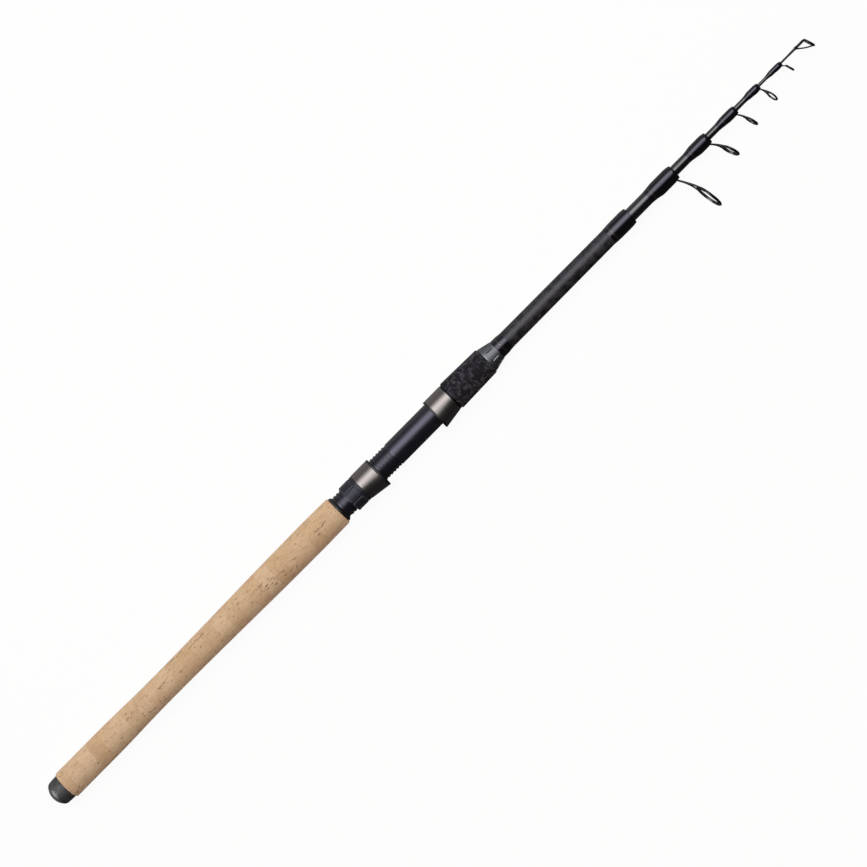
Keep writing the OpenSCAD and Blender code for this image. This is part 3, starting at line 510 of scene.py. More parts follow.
def makeCork():
    grip = corkGrip
    columns, curve, bends = grip["columns"], grip["round"], grip["roundRows"]
    corners = [math.pi / 2 * i / bends for i in range(bends + 1)]  # both ends are rounded when it is sanded
    rows = [(curve * (1 - math.cos(a)), corkRadius(0) - curve * (1 - math.sin(a))) for a in corners]
    steps = round((grip["length"] - 2 * curve) / grip["step"])
    for i in range(1, steps):
        s = mix(curve, grip["length"] - curve, i / steps)
        rows.append((s, corkRadius(s)))
    length, front = grip["length"], corkRadius(grip["length"])
    rows += [(length - curve * (1 - math.sin(a)), front - curve * (1 - math.cos(a))) for a in corners]
    sunk = [[0.0] * columns for row in rows]
    for s0, a0, half, width, depth in corkPits(random.Random(grip["seed"])):
        first = min(max(int((s0 - half) / grip["step"]), 2), len(rows) - 3)
        last = min(max(int((s0 + half) / grip["step"]) + bends, 2), len(rows) - 3)
        for i in range(first, last + 1):
            s, r = rows[i]
            reach = int(width / r / (2 * math.pi) * columns) + 2
            middle = round(a0 / (2 * math.pi) * columns)
            for j in range(middle - reach, middle + reach + 1):
                across = (j * 2 * math.pi / columns - a0) * r
                far = ((s - s0) / half) ** 2 + (across / width) ** 2
                if far < 1:
                    sunk[i][j % columns] = max(sunk[i][j % columns], depth * (1 - far) ** 0.5)
    rings, pits = [], []
    for (s, r), row in zip(rows, sunk):
        x, deep = grip["start"] + s, [r - grip["pitDepth"] * p for p in row]
        rings.append([aroundRod(x, d, a) for d, a in zip(deep, fullTurn(columns))])
        pits += row
    for s, r in ((grip["length"], grip["bore"][1]), (0, grip["bore"][0])):
        rings.append(hoop(grip["start"] + s, r, columns))
        pits += [0.0] * columns
    return skin("cork_grip_sanded", rings, cork, loop=True, sharp=60, marks={"pit": pits})


settle(makeCork(), "handle", "cork", "cork_grip")
print("butt and cork: made")


# Collar between the cork and the seat

collar = {"outline": [(326, 8.3), (326, 11.9), (327.2, 11.9), (329, 10.35), (329, 8.3)], "round": 0.25}
settle(turned("collar_moulded", eased(collar["outline"], collar["round"]), liner),
       "handle", "liner_plastic", "grip_collar")


# Reel seat: a barrel with a trapezoid thread wound on it and a key slot cut along its underside

seat = {
    "outline": [(329, 8.6), (329, 9.95), (388.4, 9.95), (389, 10.6), (452.6, 10.6), (452.6, 8.6)],
    "round": 0.3, "from": 330.2, "turns": 18, "pitch": 3.2, "crest": 10.55, "height": 0.7, "baseWidth": 2.08,
    "topWidth": 0.96, "keyFrom": 327, "keyEnd": 401, "keyWidth": 3.0, "keyFloor": 9.65, "keyHigh": 4,
}
tree, given = newTree("wound_seat_thread", {
    "Geometry": "Geometry", "Start": "Float", "Crest Radius": "Float", "Height": "Float",
    "Base Width": "Float", "Top Width": "Float", "Pitch": "Float", "Turns": "Float", "Key Place": "Vector",
    "Key Size": "Vector"})
half = addNode(tree, "ShaderNodeMath", {0: given["Height"], 1: 0.5}, operation="MULTIPLY")
middle = addNode(tree, "ShaderNodeMath", {0: given["Crest Radius"], 1: half}, operation="SUBTRACT")
reach = addNode(tree, "ShaderNodeMath", {0: given["Pitch"], 1: given["Turns"]}, operation="MULTIPLY")
coil = addNode(tree, "GeometryNodeCurveSpiral", {
    "Resolution": 72, "Rotations": given["Turns"], "Start Radius": middle,
    "End Radius": middle, "Height": reach, "Reverse": True})
upright = addNode(tree, "GeometryNodeSetCurveNormal", {"Curve": coil}, mode="Z_UP")
ridge = addNode(tree, "GeometryNodeCurvePrimitiveQuadrilateral", {
    "Height": given["Height"], "Bottom Width": given["Base Width"], "Top Width": given["Top Width"],
    "Offset": 0.0}, mode="TRAPEZOID")
laid = addNode(tree, "GeometryNodeTransform", {"Geometry": ridge, "Rotation": (0, 0, math.radians(-90))})
onSeat = sweepCoil(tree, upright, laid, given["Start"])
key = addNode(tree, "GeometryNodeMeshCube", {"Size": given["Key Size"]})
keyPlace = addNode(tree, "GeometryNodeTransform", {"Geometry": key, "Translation": given["Key Place"]})
cutBarrel = addNode(tree, "GeometryNodeMeshBoolean", {"Mesh 1": given["Geometry"], "Mesh 2": keyPlace},
                    operation="DIFFERENCE", solver="EXACT")
cutRidge = addNode(tree, "GeometryNodeMeshBoolean", {"Mesh 1": onSeat, "Mesh 2": keyPlace},
                   operation="DIFFERENCE", solver="EXACT")
joined = addNode(tree, "GeometryNodeJoinGeometry", {0: cutBarrel})
tree.links.new(cutRidge.outputs[0], joined.inputs[0])
endTree(tree, joined, nylon)
barrel = takeMesh(turned("seat_barrel", eased(seat["outline"], seat["round"]), nylon, columns=128))
keyLength = seat["keyEnd"] - seat["keyFrom"]
keyMiddle = seat["keyFrom"] + keyLength / 2, 0, -(seat["keyFloor"] + seat["keyHigh"] / 2)
settle(grow("reel_seat_moulded", tree, {
    "Start": seat["from"] * mm, "Crest Radius": seat["crest"] * mm, "Height": seat["height"] * mm,
    "Base Width": seat["baseWidth"] * mm, "Top Width": seat["topWidth"] * mm, "Pitch": seat["pitch"] * mm,
    "Turns": float(seat["turns"]), "Key Place": [v * mm for v in keyMiddle],
    "Key Size": [keyLength * mm, seat["keyWidth"] * mm, seat["keyHigh"] * mm]}, source=barrel, sharp=28),
    "handle", "seat_plastic", "reel_seat")


# Lock nut: a turned core with a front ring, and rounded grip pads set around it

nut = {
    "core": [(337.6, 10.72), (337.6, 10.95), (338.3, 11.35), (349, 11.35), (349, 12.0), (349.3, 12.15),
             (351.5, 12.15), (351.8, 12.0), (351.8, 10.72)],
    "round": 0.15, "pads": 8, "padFrom": 337.9, "padTo": 348.7, "padTop": 12.15, "padFloor": 11.2,
    "padGap": 1.15,
    # each pad step: inset, share of the height, strength of the painted highlight on the rim
    "padSteps": ((0, 0, 0), (0, 0.45, 0), (0.06, 0.66, 0.5), (0.2, 0.84, 1), (0.45, 0.95, 1), (0.8, 1, 0.3),
                 (1.6, 1, 0), (2.8, 1, 0)),
    "padCorner": 0.25, "padSides": 64,
}


# Loops of a pad from its foot over the rounded rim to its middle: each step is an inset, a share of the
# height and how strong the painted highlight on the rim is
def makePad():
    centre, halfLong = (nut["padFrom"] + nut["padTo"]) / 2, (nut["padTo"] - nut["padFrom"]) / 2
    halfWide = math.pi / nut["pads"] * nut["padTop"] - nut["padGap"] / 2
    rings, paintedRimLight = [[(centre, -nut["padFloor"], 0)]], [0.0]
    for inset, rise, rimLight in nut["padSteps"]:
        ring = []
        for t in fullTurn(nut["padSides"]):
            u = math.copysign(abs(math.cos(t)) ** nut["padCorner"], math.cos(t)) * (halfLong - inset)
            v = math.copysign(abs(math.sin(t)) ** nut["padCorner"], math.sin(t)) * (halfWide - inset)
            r, a = mix(nut["padFloor"], nut["padTop"], rise), v / nut["padTop"]
            ring.append(aroundRod(centre + u, r, a))
        rings.append(ring)
        paintedRimLight += [float(rimLight)] * len(ring)
    rings.append([(centre, -nut["padTop"], 0)])
    return takeMesh(skin("nut_pad", rings, nutAbs, marks={"rim": paintedRimLight + [0.0]}))


tree, given = newTree("pads_round_nut", {"Geometry": "Geometry", "Pads": "Int"})
endTree(tree, setRound(tree, given["Pads"], given["Geometry"], 0.0), nutAbs)
settle(turned("lock_nut_core", eased(nut["core"], nut["round"]), nutAbs), "nut", "nut_plastic", "lock_nut")
settle(grow("lock_nut_pads", tree, {"Pads": nut["pads"]}, source=makePad()), "nut", "nut_plastic")


# Hoods: an aluminium cover over a moulded liner that shows at the mouth and holds the reel's foot

hood = {
    "closed": 12.4, "flare": 2.7, "length": 18.6, "cover": 16.8, "skin": 0.7, "gap": 0.04, "wall": 1.5,
    "pocketFrom": 4.0, "pocketHalf": 8.0, "swell": 1.6, "columns": 120, "rim": 0.28, "rimWearAndGleam": 0.45,
    "rimDeep": 0.3, "round": 0.3, "lip": 0.15, "mouthEdge": ((0.5, 0), (0.2, 0.1), (0, 0.45)), "chamfer": 0.2,
    "step": 0.02, "sliding": 352.0, "fixed": 452.6, "slidingBore": 10.75, "fixedBore": 10.64,
}


def hoodRadius(s, a, inset):
    return hood["closed"] - inset + hood["flare"] * s / hood["length"] * max(math.cos(a), 0) ** hood["swell"]


# Rings of a hood from its outline of (place, radius rule); the fixed hood faces back along the rod
def hoodRings(outline, angles, start, way):
    return [[aroundRod(start + way * s, rule(s, a), a) for a in angles] for s, rule in outline]


def makeHood(name, start, way, bore, body):
    angles = fullTurn(hood["columns"])
    cover, thick = hood["cover"], hood["skin"]
    profile = eased([(0, 0), (cover, 0), (cover, thick), (0, thick)], hood["round"])
    fine = []
    for i, (s, inset) in enumerate(profile):  # a few rows along each long side
        fine.append((s, inset))
        after = profile[(i + 1) % len(profile)]
        if abs(after[0] - s) > 4:
            fine += [(mix(s, after[0], t / 6), mix(inset, after[1], t / 6)) for t in range(1, 6)]
    outline = [(s, lambda s, a, inset=inset: hoodRadius(s, a, inset)) for s, inset in fine]
    # rows at the cover's rims get a paler paint, for wear and for a painted highlight
    wornAndLitRims = []
    for s, inset in fine:
        edge = min(s, cover - s) < hood["rim"] and inset < hood["rimDeep"]
        wornAndLitRims += [hood["rimWearAndGleam"] if edge else 0.0] * len(angles)
    rings = hoodRings(outline, angles, start, way)
    settle(skin(name + "_cover", rings, gunmetal, loop=True, marks={"rim": wornAndLitRims}), body, "hood_metal", name)

    side = math.asin(hood["pocketHalf"] / (hood["closed"] + hood["flare"] - hood["wall"]))
    turns = [side - 0.004, side + 0.004]  # two close columns make the pocket's wall
    angles = sorted(angles + turns + [2 * math.pi - a for a in turns])

    def pocket(s, a):
        inside = min(a, 2 * math.pi - a) < side and s >= hood["pocketFrom"]
        return hoodRadius(s, a, hood["wall"]) if inside else bore

    under, lip, step, chamfer = thick + hood["gap"], hood["lip"], hood["step"], hood["chamfer"]
    front, mouth, inner = cover + hood["gap"], hood["length"], hood["pocketFrom"]
    outside = [(step, under), (front, under), (front, lip), (front + lip, 0)]
    outside += [(mouth - back, inset) for back, inset in hood["mouthEdge"]]
    outline = [(0, lambda s, a: bore)]
    outline += [(s, lambda s, a, inset=inset: hoodRadius(s, a, inset)) for s, inset in outside]
    outline += [(mouth, lambda s, a: pocket(s, a) + chamfer), (mouth - chamfer, pocket),
                (inner + step, pocket), (inner, lambda s, a: bore)]
    settle(skin(name + "_liner_moulded", hoodRings(outline, angles, start, way), liner, loop=True),
           body, "liner_plastic", name + "_liner")


makeHood("sliding_hood", hood["sliding"], 1, hood["slidingBore"], "hood")
makeHood("fixed_hood", hood["fixed"], -1, hood["fixedBore"], "handle")
print("nut and hoods: made")


# Trim ring, foregrip and winding check

foregrip = {
    "ring": [(452.6, 8.2), (452.6, 12.2), (454.2, 12.2), (454.2, 8.2)], "ringRound": 0.3,
    "outline": [(454.2, 8.0), (454.2, 13.2), (494.2, 12.2), (494.2, 8.0)], "round": 1.2,
}
settle(turned("trim_ring_turned", eased(foregrip["ring"], foregrip["ringRound"]), ringAlloy),
       "handle", "ring_alloy", "trim_ring")
settle(turned("foregrip_foam", eased(foregrip["outline"], foregrip["round"]), foam, columns=128),
       "handle", "grip_foam", "foregrip")

check = {
    "rear": (495.4, 11.2), "front": (506.2, 8.6), "start": 494.2, "bore": 7.95, "round": 0.25,
    "slots": 8, "slotFrom": 497.8, "slotLong": 6.4, "slotWide": 0.9, "slotDeep": 1.05, "slotHigh": 4,
    "slope": 13.5, "lean": 37,
}
tree, given = newTree("slots_round_check", {
    "Geometry": "Geometry", "Slots": "Int", "Slot Size": "Vector", "Slot Place": "Vector", "Slope": "Vector"})
cutter = addNode(tree, "GeometryNodeMeshCube", {"Size": given["Slot Size"]})
# marks one wall of a slot with 1, for a painted highlight, and its floor with -1, for painted shade
facing = addNode(tree, "GeometryNodeInputNormal")
side = addNode(tree, "ShaderNodeSeparateXYZ", {0: facing})
wall = addNode(tree, "ShaderNodeMath", {0: side.outputs["Y"], 1: -0.5}, operation="LESS_THAN")
bottom = addNode(tree, "ShaderNodeMath", {0: side.outputs["Z"], 1: -0.5}, operation="LESS_THAN")
mark = addNode(tree, "ShaderNodeMath", {0: wall, 1: bottom}, operation="SUBTRACT")
slotPaintMarks = addNode(tree, "GeometryNodeStoreNamedAttribute", {
    "Geometry": cutter, "Name": "cut", "Value": mark}, data_type="FLOAT", domain="FACE")
tilted = addNode(tree, "GeometryNodeTransform", {
    "Geometry": slotPaintMarks, "Translation": given["Slot Place"], "Rotation": given["Slope"]})
around = setRound(tree, given["Slots"], tilted, 0.5)
cutters = addNode(tree, "GeometryNodeRealizeInstances", {"Geometry": around})
slotted = addNode(tree, "GeometryNodeMeshBoolean", {"Mesh 1": given["Geometry"], "Mesh 2": cutters},
                  operation="DIFFERENCE", solver="EXACT")
endTree(tree, slotted, alloy)
(rearX, rearR), (frontX, frontR) = check["rear"], check["front"]
cone = takeMesh(turned("check_cone", eased([
    (check["start"], check["bore"]), (check["start"], rearR), (rearX, rearR), (frontX, frontR),
    (frontX, check["bore"])], check["round"]), alloy))
slotMiddle = check["slotFrom"] + check["slotLong"] / 2
slotTop = mix(rearR, frontR, (slotMiddle - rearX) / (frontX - rearX))
slotSize = check["slotLong"], check["slotWide"], check["slotHigh"]
lean, lift = math.radians(check["lean"]), check["slotHigh"] / 2 - check["slotDeep"]
slotPlace = slotMiddle, -lift * math.sin(lean), slotTop + lift * math.cos(lean)
settle(grow("winding_check_slotted", tree, {
    "Slots": check["slots"], "Slot Size": [v * mm for v in slotSize],
    "Slot Place": [v * mm for v in slotPlace], "Slope": [lean, math.radians(check["slope"]), 0.0]},
    source=cone, sharp=30),
    "handle", "check_alloy", "winding_check")


# Butt blank and its two wraps

blank = {
    "start": 8.8, "mouth": 657.4, "buttRadius": 8.8, "mouthRadius": 7.4, "bore": 6.4, "lap": 80, "wall": 1.0,
    "wrapEdge": 0.1, "wrapFull": 0.6, "under": 7.3, "checkWrap": (506.2, 516.8), "checkTrim": 509.8,
    "mouthWrap": 633.4, "mouthTrim": 636.4, "mouthSwell": 9, "trimWidth": 1.3, "thread": 0.325, "proud": 0.06,
    "nose": 4.5, "noseShare": 0.9, "boreTaper": 0.06, "round": 0.15, "rim": (0.15, 0.12),
    "tail": (0.05, 0.03), "checkRows": 16, "mouthRows": 24, "overlap": 1.1,
}


def blankRadius(x):
    share = (x - blank["start"]) / (blank["mouth"] - blank["start"])
    return mix(blank["buttRadius"], blank["mouthRadius"], share)


# A wrap draws in to a nose at a mouth, three parts slope and one part quarter round: rows of (how deep, how
# far back from the end), front last
def wrapNose(depth, length):
    steps = [math.sin(math.pi / 2 * i / 12) for i in range(13)]
    return [(depth * (0.75 * t ** 1.25 + 0.25 * (1 - math.sqrt(1 - t * t))), length * (1 - t)) for t in steps]


settle(turned("butt_blank_lacquered", eased([
    (blank["start"], blank["buttRadius"] - blank["wall"]), (blank["start"], blank["buttRadius"]),
    (blank["mouth"], blank["mouthRadius"]), (blank["mouth"], blank["bore"]),
    (blank["mouth"] - blank["lap"], blank["bore"] + blank["boreTaper"])], blank["round"]), blankLacquer),
    "handle", "blank_composite", "butt_blank")

# Thread wound in close turns, for every trim band
trimTree, given = newTree("wound_trim_thread", {
    "Start": "Float", "Start Radius": "Float", "End Radius": "Float", "Turns": "Float", "Length": "Float",
    "Thread": "Float"})
coil = addNode(trimTree, "GeometryNodeCurveSpiral", {
    "Resolution": 64, "Rotations": given["Turns"], "Start Radius": given["Start Radius"],
    "End Radius": given["End Radius"], "Height": given["Length"]})
strand = addNode(trimTree, "ShaderNodeMath", {0: given["Thread"], 1: 0.5}, operation="MULTIPLY")
section = addNode(trimTree, "GeometryNodeCurvePrimitiveCircle", {"Resolution": 8, "Radius": strand})
endTree(trimTree, sweepCoil(trimTree, coil, section, given["Start"]), thread)


# The band stands a little proud of the wrap, whose radius is given at the band's two ends
def makeTrim(name, x, rear, front, body, node):
    wide, width = blank["thread"], blank["trimWidth"]
    sink = blank["proud"] - wide / 2
    settle(grow(name, trimTree, {
        "Start": (x + wide / 2) * mm, "Start Radius": (rear + sink) * mm, "End Radius": (front + sink) * mm,
        "Turns": width / wide - 1, "Length": (width - wide) * mm, "Thread": blank["overlap"] * wide * mm},
        sharp=60),
        body, "trim_thread", node)


start, end = blank["checkWrap"]
full, edge = blank["wrapFull"], blank["wrapEdge"]
trimEnd = blank["checkTrim"] + blank["trimWidth"]
(rimIn, rimDown), (tailOut, tailUp), steps = blank["rim"], blank["tail"], blank["checkRows"]
rows = [(start, blank["under"]), (start, blankRadius(start) + full - rimDown),
        (start + rimIn, blankRadius(start) + full)]
for i in range(steps + 1):
    x = mix(trimEnd, end, i / steps)
    rows.append((x, blankRadius(x) + mix(full, edge, ease(i / steps))))
rows += [(end + tailOut, blankRadius(end) + tailUp), (end, blank["under"])]
settle(turned("check_wrap_epoxy", rows, epoxy), "handle", "wrap_epoxy", "check_wrap")
makeTrim("check_trim_thread", blank["checkTrim"], blankRadius(blank["checkTrim"]) + full,
         blankRadius(trimEnd) + full, "handle", "check_trim")


def mouthWrapRadius(x):
    swell = math.sin(math.pi / 2 * min(1, (x - blank["mouthWrap"]) / blank["mouthSwell"]))
    return mix(blankRadius(x) + blank["wrapEdge"], blank["mouthRadius"] + blank["wrapFull"], swell)


start, end = blank["mouthWrap"], blank["mouth"]
rows = [(start, blank["under"])]
for i in range(blank["mouthRows"]):
    x = mix(start, end - blank["nose"], i / blank["mouthRows"])
    rows.append((x, mouthWrapRadius(x)))
for drop, back in wrapNose(blank["noseShare"] * full, blank["nose"]):
    rows.append((end - back, mouthWrapRadius(end) - drop))
rows.append((end, blank["under"]))
settle(turned("mouth_wrap_epoxy", rows, epoxy), "handle", "wrap_epoxy", "mouth_wrap")
makeTrim("mouth_trim_thread", blank["mouthTrim"], mouthWrapRadius(blank["mouthTrim"]),
         mouthWrapRadius(blank["mouthTrim"] + blank["trimWidth"]), "handle", "mouth_trim")
print("blank and its wraps: made")


# Drawn sections with their wraps and trims

sections = {
    "base": 25.5, "ends": [707, 745.4, 777, 803.4, 829], "laps": [80, 70, 60, 50, 45, 40],
    "mouths": [5.75, 4.4, 3.1, 2.3, 1.4], "bores": [4.9, 3.65, 2.65, 1.75, 1.0],
    "seats": [6.37, 4.87, 3.62, 2.62, 1.72], "rise": 0.06,
    "wrapLong": [29.6, 23.2, 20.4, 15.6, 17.2], "wrapThick": [0.95, 1.0, 0.8, 0.8, 0.9], "wrapEdge": 0.1,
    "swellShare": 0.36, "footRise": [0.9, 0.75, 0.6, 0.5, 0.45], "footFrom": [0.15, 0.22, 0.28, 0.36, 0.38],
    "footEase": 0.3, "trimAt": [3.6, 3.2, 5.4, 5, 5], "columns": 72, "rows": 30, "under": 0.12,
    "nose": [5.2, 5, 4.2, 3.8, 3.2], "round": 0.12,
}


def sectionRadius(k, x):
    rear = sections["base"] + sections["laps"][k]
    return mix(sections["seats"][k], sections["mouths"][k], (x - rear) / (sections["ends"][k] - rear))


# Radius of a section's wrap at a share of its length and an angle from the guide's side
def wrapRadius(k, share, a):
    x = sections["ends"][k] - sections["wrapLong"][k] * (1 - share)
    swell = mix(sections["wrapEdge"], sections["wrapThick"][k], ease(share / sections["swellShare"]))
    rise = sections["footRise"][k] * ease((share - sections["footFrom"][k]) / sections["footEase"])
    return sectionRadius(k, x) + swell + rise * max(math.cos(a), 0) ** 2


def makeSection(k):
    body = "section_%d" % (k + 1)
    end, base, long = sections["ends"][k], sections["base"], sections["wrapLong"][k]
    seatR, mouthR, boreR = sections["seats"][k], sections["mouths"][k], sections["bores"][k]
    lap, lapAhead = sections["laps"][k], sections["laps"][k + 1]
    rise, columns, nose = sections["rise"], sections["columns"], sections["nose"][k]
    tube = [(base, seatR + rise - mouthR + boreR), (base, seatR + rise), (base + lap, seatR), (end, mouthR),
            (end, boreR), (end - lapAhead, boreR + rise)]
    settle(turned(body + "_blank_lacquered", eased(tube, sections["round"]), sectionLacquer, columns=columns),
           body, "blank_composite", body + "_blank")

    straight = 1 - nose / long
    stations = [(straight * i / sections["rows"], 0.0) for i in range(sections["rows"])]
    depth = blank["noseShare"] * sections["wrapThick"][k]
    stations += [(1 - back / long, drop) for drop, back in wrapNose(depth, nose)]
    shell = []
    for share, drop in stations:
        x = end - long * (1 - share)
        shell.append([aroundRod(x, wrapRadius(k, share, a) - drop, a) for a in fullTurn(columns)])
    shell += [hoop(x, sectionRadius(k, x) - sections["under"], columns) for x in (end, end - long)]
    settle(skin(body + "_wrap_epoxy", shell, epoxy, loop=True), body, "wrap_epoxy", body + "_wrap")

    at = sections["trimAt"][k]
    makeTrim(body + "_trim_thread", end - long + at, wrapRadius(k, at / long, math.pi),
             wrapRadius(k, (at + blank["trimWidth"]) / long, math.pi), body, body + "_trim")


for k in range(len(sections["ends"])):
    makeSection(k)

# The solid tip, a little thicker behind the tip top's tube
tip = {
    "end": 853.4, "radius": 0.88, "seat": 0.97, "thickFrom": 835, "thickTo": 841, "thick": 1.02,
    "tubeFrom": 844.6, "round": 0.1, "columns": 48,
}
base = sections["base"]
settle(turned("tip_blank_lacquered", eased([
    (base, 0), (base, tip["seat"] + sections["rise"]), (base + sections["laps"][-1], tip["seat"]),
    (tip["thickFrom"], tip["radius"]), (tip["thickTo"], tip["thick"]), (tip["tubeFrom"], tip["thick"]),
    (tip["tubeFrom"], tip["radius"]), (tip["end"], tip["radius"]), (tip["end"], 0)],
    tip["round"], loop=False), tipFibre, columns=tip["columns"], loop=False),
    "tip", "blank_composite", "tip_blank")
print("sections: made")


# Guides: two wires lie under each wrap, rise from its mouth and run into a round ring with a hard liner

guides = {
    "rings": [25, 16, 12, 11, 8.4], "out": [34, 20.6, 16, 13.6, 7.8], "ahead": [6, 5.7, 2.7, 2, 2.4],
    "lean": [8, 19, 15, 8, 15], "turn": [1, 3, 0, 7, -10], "wire": [1.1, 0.95, 0.85, 0.75, 0.65],
    "leg": [1.4, 1.35, 1.15, 1.15, 0.95], "liner": [0.75, 0.7, 0.65, 0.65, 0.55],
    "across": [2.4, 2.4, 2.0, 1.7, 1.8], "legAngle": 62, "bendBack": [3.3, 3, 2.5, 1, 1.5], "spread": 0.6,
    "leave": [60, 45, 50, 62, 46], "footShare": 0.6, "footPoints": 5, "pull": (0.42, 0.36), "bed": 0.04,
    "sides": 72,
}

wireTree, given = newTree("swept_wire", {"Geometry": "Geometry", "Wire": "Float"})
strand = addNode(wireTree, "ShaderNodeMath", {0: given["Wire"], 1: 0.5}, operation="MULTIPLY")
section = addNode(wireTree, "GeometryNodeCurvePrimitiveCircle", {"Resolution": 16, "Radius": strand})
own = addNode(wireTree, "GeometryNodeInputRadius")
swept = addNode(wireTree, "GeometryNodeCurveToMesh", {
    "Curve": given["Geometry"], "Profile Curve": section, "Scale": own, "Fill Caps": True})
endTree(wireTree, swept, wireBlack)


# Runs of wire as one curve: each is its points, its share of the wire's thickness and whether it closes
def wireRuns(name, runs):
    path = bpy.data.curves.new(name, "CURVE")
    path.dimensions = "3D"
    for points, share, closed in runs:
        line = path.splines.new("POLY")
        line.points.add(len(points) - 1)
        for spot, point in zip(line.points, points):
            spot.co = (*(Vector(point) * mm), 1)
            spot.radius = share
        line.use_cyclic_u = closed
    return path


def bend(a, b, c, d, steps=18):
    a, b, c, d = Vector(a), Vector(b), Vector(c), Vector(d)
    return [a * (1 - t) ** 3 + b * 3 * t * (1 - t) ** 2 + c * 3 * t * t * (1 - t) + d * t ** 3
            for t in (i / steps for i in range(steps + 1))]


# The place of a ring: it stands across the rod, turns on its stem and leans to the tip
def ringTurn(middle, lean, turn):
    return (Matrix.Translation(Vector(middle)) @ Matrix.Rotation(math.radians(lean), 4, "Z")
            @ Matrix.Rotation(math.radians(turn), 4, "Y"))


# A point on a ring, by the angle from the side that faces the rod
def onRing(place, r, degrees, side):
    a = math.radians(degrees)
    return place @ Vector((0, r * math.cos(a), side * r * math.sin(a)))


# Hard liner: an oval section with a groove outside for the frame's wire
def makeLiner(name, place, ring, wire, thick, across):
    outer, inner, groove = (ring - wire) / 2, ring / 2 - wire - thick, wire / 2
    rows = []
    for a in fullTurn(36):
        x, r = -across / 2 * math.cos(a), (outer + inner) / 2 - (outer - inner) / 2 * math.sin(a)
        if a > math.pi and abs(x) < groove:
            r = min(r, outer - math.sqrt(groove * groove - x * x))
        rows.append((x, r))
    turn = Matrix.Translation(place.translation * mm) @ place.to_3x3().to_4x4()
    return turned(name, rows, ceramic, columns=72, turn=turn)


def makeGuide(k):
    body, name = "section_%d" % (k + 1), "guide_%d" % (k + 1)
    end, wire, ring = sections["ends"][k], guides["wire"][k], guides["rings"][k]
    place = ringTurn((end + guides["ahead"][k], -guides["out"][k], 0), guides["lean"][k], guides["turn"][k])
    r = (ring - wire) / 2
    footRadius = sectionRadius(k, end - sections["wrapLong"][k]) + wire / 2 + guides["bed"]
    footRoom = sections["wrapLong"][k] - sections["trimAt"][k] - blank["trimWidth"] - guides["bendBack"][k]
    leave = math.radians(guides["leave"][k])
    away = Vector((math.cos(leave), -math.sin(leave), 0))
    sides, points, (pullFoot, pullRing) = guides["sides"], guides["footPoints"], guides["pull"]
    footLong = guides["footShare"] * footRoom
    runs = [([onRing(place, r, 360 * i / sides, 1) for i in range(sides)], 1.0, True)]
    for side in (-1, 1):
        elbow = Vector((end - guides["bendBack"][k], -footRadius, side * guides["spread"] * wire))
        join = onRing(place, r, guides["legAngle"], side)
        along = (onRing(place, r, guides["legAngle"] + 1, side) - join).normalized()
        far = (join - elbow).length
        leg = bend(elbow, elbow + away * pullFoot * far, join - along * pullRing * far, join)
        foot = [elbow - Vector((footLong * (1 - i / points), 0, 0)) for i in range(points)]
        runs.append((foot + leg, guides["leg"][k] / wire, False))
    settle(grow(name + "_frame_wire", wireTree, {"Wire": wire * mm}, source=wireRuns(name, runs), sharp=50),
           body, "guide_wire", name + "_frame")
    settle(makeLiner(name + "_ring_ceramic", place, ring, wire, guides["liner"][k], guides["across"][k]),
           body, "guide_ceramic", name + "_ring")


for k in range(len(sections["ends"])):
    makeGuide(k)


# Tip top: a capped tube with a collar, two short wires to the upper part of its ring and two bowed braces to
# the lower

tipTop = {
    "middle": (856.4, -4.45, 0), "ring": 11.2, "lean": 17, "turn": -7, "wire": 0.7, "liner": 0.65,
    "across": 1.9, "upperFrom": (852, 0, 0.88), "upperTo": 20, "lowerFrom": (845.5, -0.6, 0.4),
    "lowerTo": 150, "brace": 1.1, "bow": 0.7, "sides": 60, "steps": 8, "round": 0.3, "columns": 48,
    "tube": [(844.6, 0.88), (844.6, 1.35), (846.2, 1.35), (847.1, 1.1), (854.2, 1.1), (854.2, 0), (853.4, 0),
             (853.4, 0.88)],
}
place = ringTurn(tipTop["middle"], tipTop["lean"], tipTop["turn"])
ringRadius = (tipTop["ring"] - tipTop["wire"]) / 2
sides, steps = tipTop["sides"], tipTop["steps"]
runs = [([onRing(place, ringRadius, 360 * i / sides, 1) for i in range(sides)], 1.0, True)]
for side in (-1, 1):
    for start, to, bow in ((tipTop["upperFrom"], tipTop["upperTo"], 0),
                           (tipTop["lowerFrom"], tipTop["lowerTo"], tipTop["bow"])):
        near, far = Vector((start[0], start[1], side * start[2])), onRing(place, ringRadius, to, side)
        points = [mix(near, far, i / steps) - Vector((0, bow * math.sin(math.pi * i / steps), 0))
                  for i in range(steps + 1)]
        runs.append((points, tipTop["brace"] / tipTop["wire"], False))
wire = tipTop["wire"]
settle(grow("tip_top_frame_wire", wireTree, {"Wire": wire * mm}, source=wireRuns("tip_top", runs), sharp=50),
       "tip", "guide_wire", "tip_top_frame")
settle(makeLiner("tip_top_ring_ceramic", place, tipTop["ring"], wire, tipTop["liner"], tipTop["across"]),
       "tip", "guide_ceramic", "tip_top_ring")
tube = eased(tipTop["tube"], tipTop["round"])
settle(turned("tip_top_tube_drawn", tube, wireBlack, columns=tipTop["columns"]),
       "tip", "guide_wire", "tip_top_tube")
print("guides and tip top: made")


# Floor, light and camera

